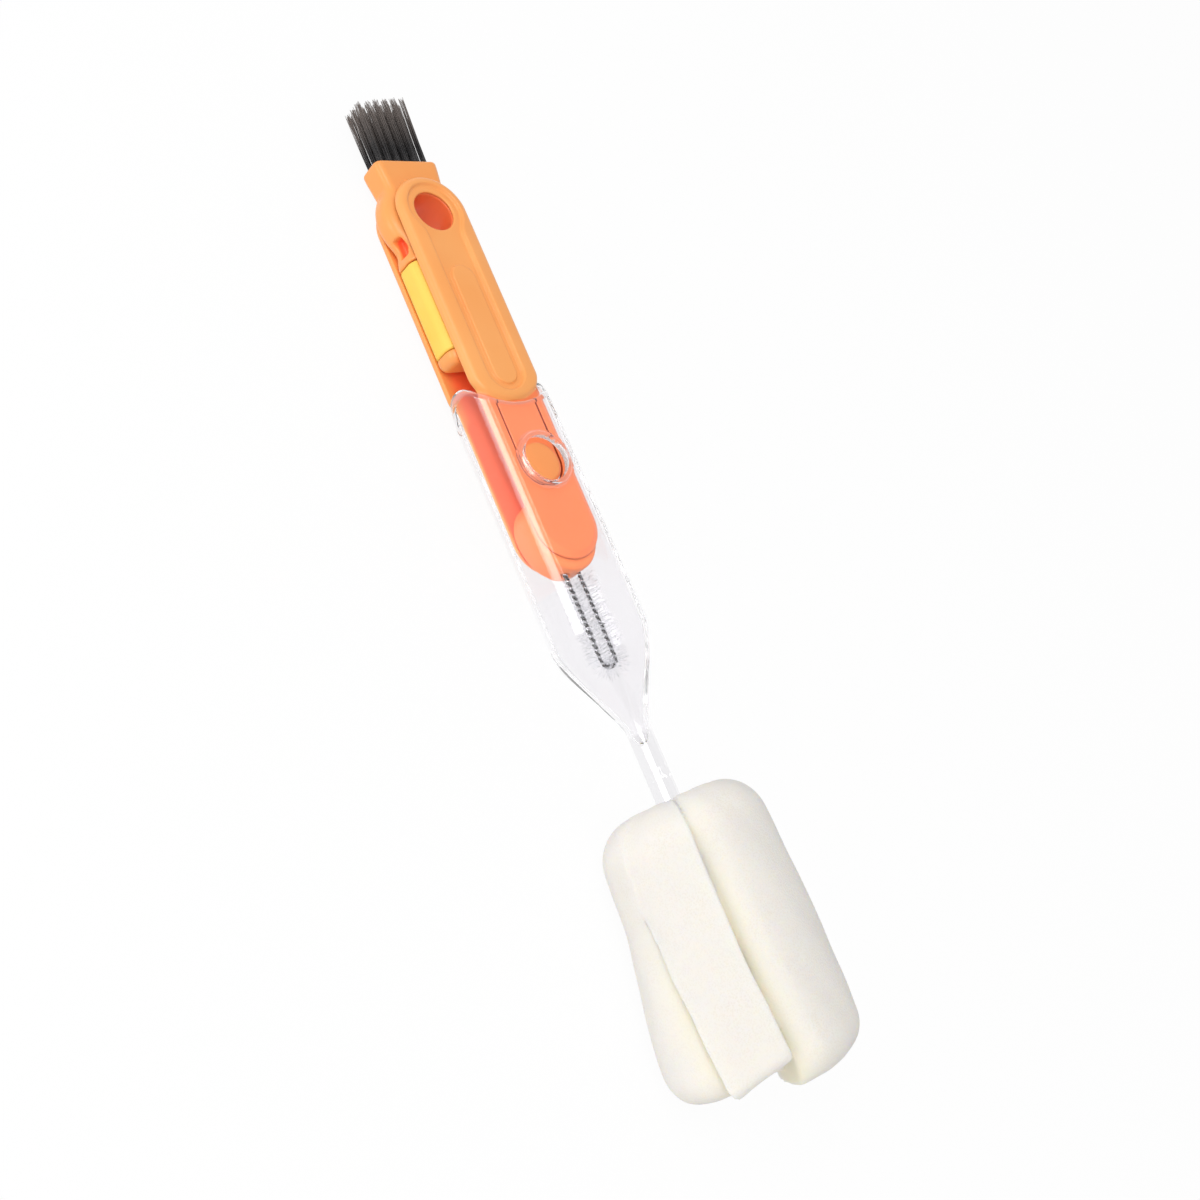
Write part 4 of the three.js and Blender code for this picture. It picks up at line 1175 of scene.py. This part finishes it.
# Slits beside the middle lobe: the one that reaches the top is counted first and last.
LONG_SLIT = (0, 5)
SHORT_SLIT = 1
SLIT_GAP = 0.05 * MM


def slit_angles(x):
    """Angles of the slits at x in degrees from the front towards -y, the first one again at the end."""
    along = x / MM
    first = 36.2 - 7.0 * np.clip((along - 200.0) / 41.0, 0.0, 1.4) ** 2
    second = 89.0 - 0.365 * (np.maximum(along, 194.0) - 201.0)
    return first, second, 165.0 + 0.0 * x, 236.0 + 0.0 * x, 307.0 + 0.0 * x, first + 360.0


def flank(radius, away):
    """Distance from a flat cut through the axis, where away is the angle past it in degrees."""
    return radius * np.sin(np.radians(np.clip(away, -90.0, 90.0)))


def foam_field(x, y, z, sponge):
    """Distance to the foam without its bore, and how deep each place lies beside a slit."""
    down = np.clip((x - sponge.start) / (sponge.end - sponge.start), 0.0, 1.0) ** 2
    y = y - sponge.sag_across * down
    z = z - sponge.sag_out * down
    radius = np.hypot(y, z)
    turn = np.degrees(np.arctan2(-y, z)) % 360.0
    fill = smooth_step(sponge.start - 6.0 * MM, sponge.belly, x)
    side = sponge.top_radius + (sponge.belly_radius - sponge.top_radius) * fill
    top = sponge.start - sponge.start_tilt * y - x
    opened = smooth_step(*SLIT_OPENS, x)
    slits = slit_angles(x)
    body = met(radius - sponge.core_radius, np.maximum(top, x - CORE_END), 2.0 * MM)
    beside = np.zeros_like(radius)
    for number, lobe_sizes in enumerate(LOBES.values()):
        first_end, last_end, hollow, roll, flare, flat, first_fall, last_fall = lobe_sizes
        start_angle = slits[number]
        end_angle = slits[number + 1]
        past = (turn - start_angle + 90.0) % 360.0 - 90.0
        left = end_angle - start_angle - past
        width = end_angle - start_angle
        share_past = np.clip(past / width, 0.0, 1.0)
        depths = [first_fall[0] * MM, last_fall[0] * MM]
        gaps = [SLIT_GAP, SLIT_GAP]
        for edge, slit in enumerate((number, number + 1)):
            if slit in LONG_SLIT:
                deepening = smooth_step(sponge.start, sponge.start + 30.0 * MM, x)
                depths[edge] = depths[edge] * (0.3 + 0.7 * deepening)
            if slit == SHORT_SLIT:
                depths[edge] = depths[edge] * opened
                gaps[edge] = SLIT_GAP - 3.0 * MM * smooth_step(*SLIT_CLOSED, x)
        fall = depths[0] * np.clip(1.0 - past / first_fall[1], 0.0, 1.0) ** 2
        fall = fall + depths[1] * np.clip(1.0 - left / last_fall[1], 0.0, 1.0) ** 2
        swell = flare * MM * smooth_step(*FLARE, x) * np.sin(np.pi * share_past) ** 2
        middle = np.radians(np.clip(np.abs(past - width / 2.0), 0.0, 45.0))
        plane = side * np.cos(np.radians(width / 2.0)) / np.cos(middle)
        face = side + flat * (np.minimum(plane, side) - side) + swell - fall
        wedge = np.maximum(-flank(radius, past) + gaps[0], -flank(radius, left) + gaps[1])
        end = (first_end + (last_end - first_end) * share_past) * MM
        end = end - hollow * np.maximum(side - radius, 0.0)
        lobe = met(met(radius - face, top, sponge.top_roll), x - end, roll * MM)
        lobe = met(lobe, wedge, sponge.edge_roll)
        # The second value is the weight of the painted yellowish shade beside the slits.
        beside = np.where(lobe < body, fall / (5.0 * MM), beside)
        body = np.minimum(body, lobe)
    around = np.radians(turn)
    ripple = np.sin(x / (7.0 * MM) + 2.0 * np.sin(2.0 * around))
    ripple = ripple * np.sin(5.0 * around + x / (13.0 * MM))
    return body + sponge.unevenness * ripple ** 2, beside


def build_sponge(sponge, material):
    """Foam head parted into lobes by slits."""
    corner, (x, y, z) = node_lattice("sponge_head", sponge.step)
    body = foam_field(x, y, z, sponge)[0]
    bore = np.maximum(np.hypot(y, z) - sponge.bore_radius, x - sponge.bore_end)
    points, faces = skin(np.maximum(body, -bore), corner, sponge.step)
    # Painted shade: weight of the yellowish shade beside the slits.
    recess = foam_field(points[:, 0], points[:, 1], points[:, 2], sponge)[1]
    made = make_piece(
        "foam_head", points, faces, material, "handle", "foam", ["sponge_head"], recess=recess
    )
    return made


class CupBrushOperator:
    """What the operators of the cup brush share."""

    bl_options = {"REGISTER", "UNDO"}


class CUPBRUSH_OT_plates(CupBrushOperator, bpy.types.Operator):
    """Build the front and back plates and the pivot tube"""

    bl_idname = "cup_brush.plates"
    bl_label = "Plates"

    def execute(self, context):
        chosen = settings(context)
        finish = chosen.finish
        material = moulded("shell_plastic", finish.shell, finish.shell_deep, *SATIN)
        build_front_plate(chosen.plate, chosen.latch, material)
        build_back_plate(chosen.plate, material)
        build_pivot_tube(chosen.plate, material)
        refinish(frame["nodes"]["loop_pin"], material)
        return {"FINISHED"}


class CUPBRUSH_OT_latch(CupBrushOperator, bpy.types.Operator):
    """Build the latch tongue with its button"""

    bl_idname = "cup_brush.latch"
    bl_label = "Latch"

    def execute(self, context):
        chosen = settings(context)
        finish = chosen.finish
        material = moulded("latch_plastic", finish.shell, finish.shell_deep, *SATIN)
        build_latch(chosen.plate, chosen.latch, material)
        return {"FINISHED"}


class CUPBRUSH_OT_arm(CupBrushOperator, bpy.types.Operator):
    """Build the arm of the crevice brush and its grip"""

    bl_idname = "cup_brush.arm"
    bl_label = "Brush arm and grip"

    def execute(self, context):
        chosen = settings(context)
        finish = chosen.finish
        build_arm(chosen.arm, moulded("arm_plastic", finish.arm, finish.arm_deep, *SATIN))
        build_grip(chosen.arm, moulded("grip_rubber", finish.grip, finish.grip_deep, *RUBBER))
        return {"FINISHED"}


class CUPBRUSH_OT_tufts(CupBrushOperator, bpy.types.Operator):
    """Build the three rows of black tufts and finish their brass anchors"""

    bl_idname = "cup_brush.tufts"
    bl_label = "Tufts"

    def execute(self, context):
        chosen = settings(context)
        finish = chosen.finish
        material = black_nylon(finish)
        for row, name in enumerate(("back", "middle", "front")):
            build_tuft_row(chosen.arm, name, row, material)
        brass = metal("anchor_brass", finish.brass, finish.brass_deep, *ANCHOR_WIRE)
        for name, node in frame["nodes"].items():
            if name.startswith("tuft_anchor_"):
                refinish(node, brass)
        return {"FINISHED"}


class CUPBRUSH_OT_loop(CupBrushOperator, bpy.types.Operator):
    """Build the loop brush: hub, twisted wires and clear bristles"""

    bl_idname = "cup_brush.loop"
    bl_label = "Loop brush"

    def execute(self, context):
        chosen = settings(context)
        finish = chosen.finish
        build_loop_hub(chosen.loop, moulded("hub_plastic", finish.arm, finish.arm_deep, *MATT))
        steel = metal("wire_steel", finish.steel, finish.steel_deep, *DRAWN_WIRE)
        build_loop_wire(chosen.loop, "a", 0.0, steel)
        # Painted reflection: the second wire gets a dark copy of the steel in place of dark reflections.
        dark = metal("wire_painted_dark_steel", finish.steel_painted_dark, PAINTED_BLACK_SHADE, *DRAWN_WIRE)
        build_loop_wire(chosen.loop, "b", math.pi, dark)
        build_loop_bristles(chosen.loop, clear_nylon(finish))
        return {"FINISHED"}


class CUPBRUSH_OT_handle(CupBrushOperator, bpy.types.Operator):
    """Build the clear hollow handle"""

    bl_idname = "cup_brush.handle"
    bl_label = "Clear handle"

    def execute(self, context):
        chosen = settings(context)
        finish = chosen.finish
        wall = clear_plastic("clear_wall", finish.clear, finish.clear_shade, *WALL_CLEAR)
        shoulder = clear_plastic("clear_shoulder", finish.clear, finish.clear_shade, *SHOULDER_CLEAR)
        thick = clear_plastic("clear_thick", finish.clear_thick, finish.clear_shade, *THICK_CLEAR)
        build_handle(chosen.handle, (wall, shoulder, thick))
        return {"FINISHED"}


class CUPBRUSH_OT_sponge(CupBrushOperator, bpy.types.Operator):
    """Build the slit foam head"""

    bl_idname = "cup_brush.sponge"
    bl_label = "Foam head"

    def execute(self, context):
        chosen = settings(context)
        build_sponge(chosen.sponge, foam(chosen.finish))
        return {"FINISHED"}


def soft_lamp(name, direction, aim, energy, long, wide, distance):
    """Long soft lamp, in line with the brush, that shines from a direction in the brush's axes."""
    data = bpy.data.lights.new(name, "AREA")
    data.shape = "RECTANGLE"
    data.size = long
    data.size_y = wide
    data.energy = energy
    lamp = bpy.data.objects.new(name, data)
    back = (TURN @ direction).normalized()
    upward = back.cross(ALONG).normalized()
    turn = Matrix((upward.cross(back), upward, back)).transposed().to_4x4()
    lamp.matrix_world = Matrix.Translation(aim + back * distance) @ turn
    lamp.visible_camera = False
    bpy.context.scene.collection.objects.link(lamp)


def seen_as_background(tree):
    """1 where the camera sees a place directly, in a mirror or through a clear piece."""
    path = tree.nodes.new("ShaderNodeLightPath")
    seen = path.outputs["Is Camera Ray"]
    for kind in ("Is Glossy Ray", "Is Transmission Ray"):
        seen = combine(tree, "MAXIMUM", seen, path.outputs[kind])
    return seen


def pale_floor(stage):
    """Plain white floor that keeps the shadow of the brush."""
    mesh = bpy.data.meshes.new("floor")
    reach = 3.0
    corners = [(-reach, -reach, 0.0), (reach, -reach, 0.0), (reach, reach, 0.0), (-reach, reach, 0.0)]
    mesh.from_pydata(corners, [], [(0, 1, 2, 3)])
    floor = bpy.data.objects.new("floor", mesh)
    bpy.context.scene.collection.objects.link(floor)
    material = bpy.data.materials.new("white_floor")
    material.use_nodes = True
    tree = material.node_tree
    shader = tree.nodes["Principled BSDF"]
    shader.inputs["Base Color"].default_value = FLOOR_GREY
    shader.inputs["Roughness"].default_value = 1.0
    shader.inputs["Specular IOR Level"].default_value = 0.0
    white = tree.nodes.new("ShaderNodeEmission")
    part = combine(tree, "MULTIPLY", seen_as_background(tree), stage.floor_white)
    mixed = tree.nodes.new("ShaderNodeMixShader")
    tree.links.new(part, mixed.inputs[0])
    tree.links.new(shader.outputs["BSDF"], mixed.inputs[1])
    tree.links.new(white.outputs["Emission"], mixed.inputs[2])
    tree.links.new(mixed.outputs["Shader"], tree.nodes["Material Output"].inputs["Surface"])
    mesh.materials.append(material)


# Directions of the lamps in the axes of the brush.
SIDE = Vector((-0.30, -0.93, 0.16))
ABOVE = Vector((-0.05, -0.55, 0.83))
# The white at the horizon fades between these sines of the height above it.
HORIZON_FADE = (0.22, 0.42)


def sky_towards(tree, direction):
    """How much the sky at a place lies towards a direction, from -1 to 1."""
    toward = tree.nodes.new("ShaderNodeVectorMath")
    toward.operation = "DOT_PRODUCT"
    toward.inputs[1].default_value = direction
    tree.links.new(tree.nodes.new("ShaderNodeTexCoord").outputs["Generated"], toward.inputs[0])
    return toward.outputs["Value"]


def studio_world(stage):
    """Even light from all round, stronger towards the side lamp, and white where it meets the floor."""
    world = bpy.data.worlds.new("studio")
    world.use_nodes = True
    tree = world.node_tree
    lamp_side = sky_towards(tree, (TURN @ SIDE).normalized())
    light = spread(tree, lamp_side, -1.0, 1.0, stage.world_far, stage.world)
    horizon = spread(tree, sky_towards(tree, (0.0, 0.0, 1.0)), *HORIZON_FADE, 1.0, 0.0)
    white = combine(tree, "MULTIPLY", horizon, seen_as_background(tree))
    background = tree.nodes["Background"]
    background.inputs["Color"].default_value = (1.0, 1.0, 1.0, 1.0)
    tree.links.new(combine(tree, "MAXIMUM", light, white), background.inputs["Strength"])
    return world


class CUPBRUSH_OT_stage(CupBrushOperator, bpy.types.Operator):
    """Set the floor, the light and the camera"""

    bl_idname = "cup_brush.stage"
    bl_label = "Stage"

    def execute(self, context):
        scene = context.scene
        stage = settings(context).stage
        pale_floor(stage)
        scene.world = studio_world(stage)
        aim = Vector(stage.target)
        away = stage.lamp_distance
        soft_lamp("top_lamp", ABOVE, aim, stage.top_energy, stage.top_length, stage.top_width, away)
        soft_lamp("side_lamp", SIDE, aim, stage.side_energy, stage.side_length, stage.side_width, away)
        back = Vector((
            math.sin(stage.azimuth) * math.cos(stage.elevation),
            -math.cos(stage.azimuth) * math.cos(stage.elevation),
            math.sin(stage.elevation),
        ))
        level = Vector((0.0, 0.0, 1.0)).cross(back).normalized()
        upright = back.cross(level)
        up = math.cos(stage.roll) * upright + math.sin(stage.roll) * level
        right = up.cross(back)
        data = bpy.data.cameras.new("photo_view")
        data.lens = stage.lens
        data.sensor_width = 36.0
        data.clip_start = 0.01
        camera = bpy.data.objects.new("photo_view", data)
        turn = Matrix((right, up, back)).transposed().to_4x4()
        camera.matrix_world = Matrix.Translation(aim + back * stage.distance) @ turn
        scene.collection.objects.link(camera)
        scene.camera = camera
        scene.view_settings.view_transform = "Standard"
        return {"FINISHED"}


class CUPBRUSH_PT_panel(bpy.types.Panel):
    """Panel that lists the steps of the cup brush"""

    bl_idname = "CUPBRUSH_PT_panel"
    bl_label = "Cup brush"
    bl_space_type = "VIEW_3D"
    bl_region_type = "UI"
    bl_category = "Cup brush"

    def draw(self, context):
        for operator in OPERATORS:
            self.layout.operator(operator.bl_idname)


OPERATORS = (
    CUPBRUSH_OT_plates,
    CUPBRUSH_OT_latch,
    CUPBRUSH_OT_arm,
    CUPBRUSH_OT_tufts,
    CUPBRUSH_OT_loop,
    CUPBRUSH_OT_handle,
    CUPBRUSH_OT_sponge,
    CUPBRUSH_OT_stage,
)

GROUPS = (
    PlateSizes,
    LatchSizes,
    ArmSizes,
    LoopSizes,
    HandleSizes,
    SpongeSizes,
    FinishColours,
    StageSettings,
    CupBrushSettings,
)


def register():
    """Register the settings, the operators and the panel."""
    for group in GROUPS + OPERATORS + (CUPBRUSH_PT_panel,):
        bpy.utils.register_class(group)
    bpy.types.Scene.cup_brush = PointerProperty(type=CupBrushSettings)


def unregister():
    """Take the settings, the operators and the panel away again."""
    del bpy.types.Scene.cup_brush
    for group in reversed(GROUPS + OPERATORS + (CUPBRUSH_PT_panel,)):
        bpy.utils.unregister_class(group)


def main():
    """Build the brush and its stage."""
    register()
    bpy.ops.cup_brush.plates()
    bpy.ops.cup_brush.latch()
    bpy.ops.cup_brush.arm()
    bpy.ops.cup_brush.tufts()
    bpy.ops.cup_brush.loop()
    bpy.ops.cup_brush.handle()
    bpy.ops.cup_brush.sponge()
    bpy.ops.cup_brush.stage()


if __name__ == "__main__":
    main()
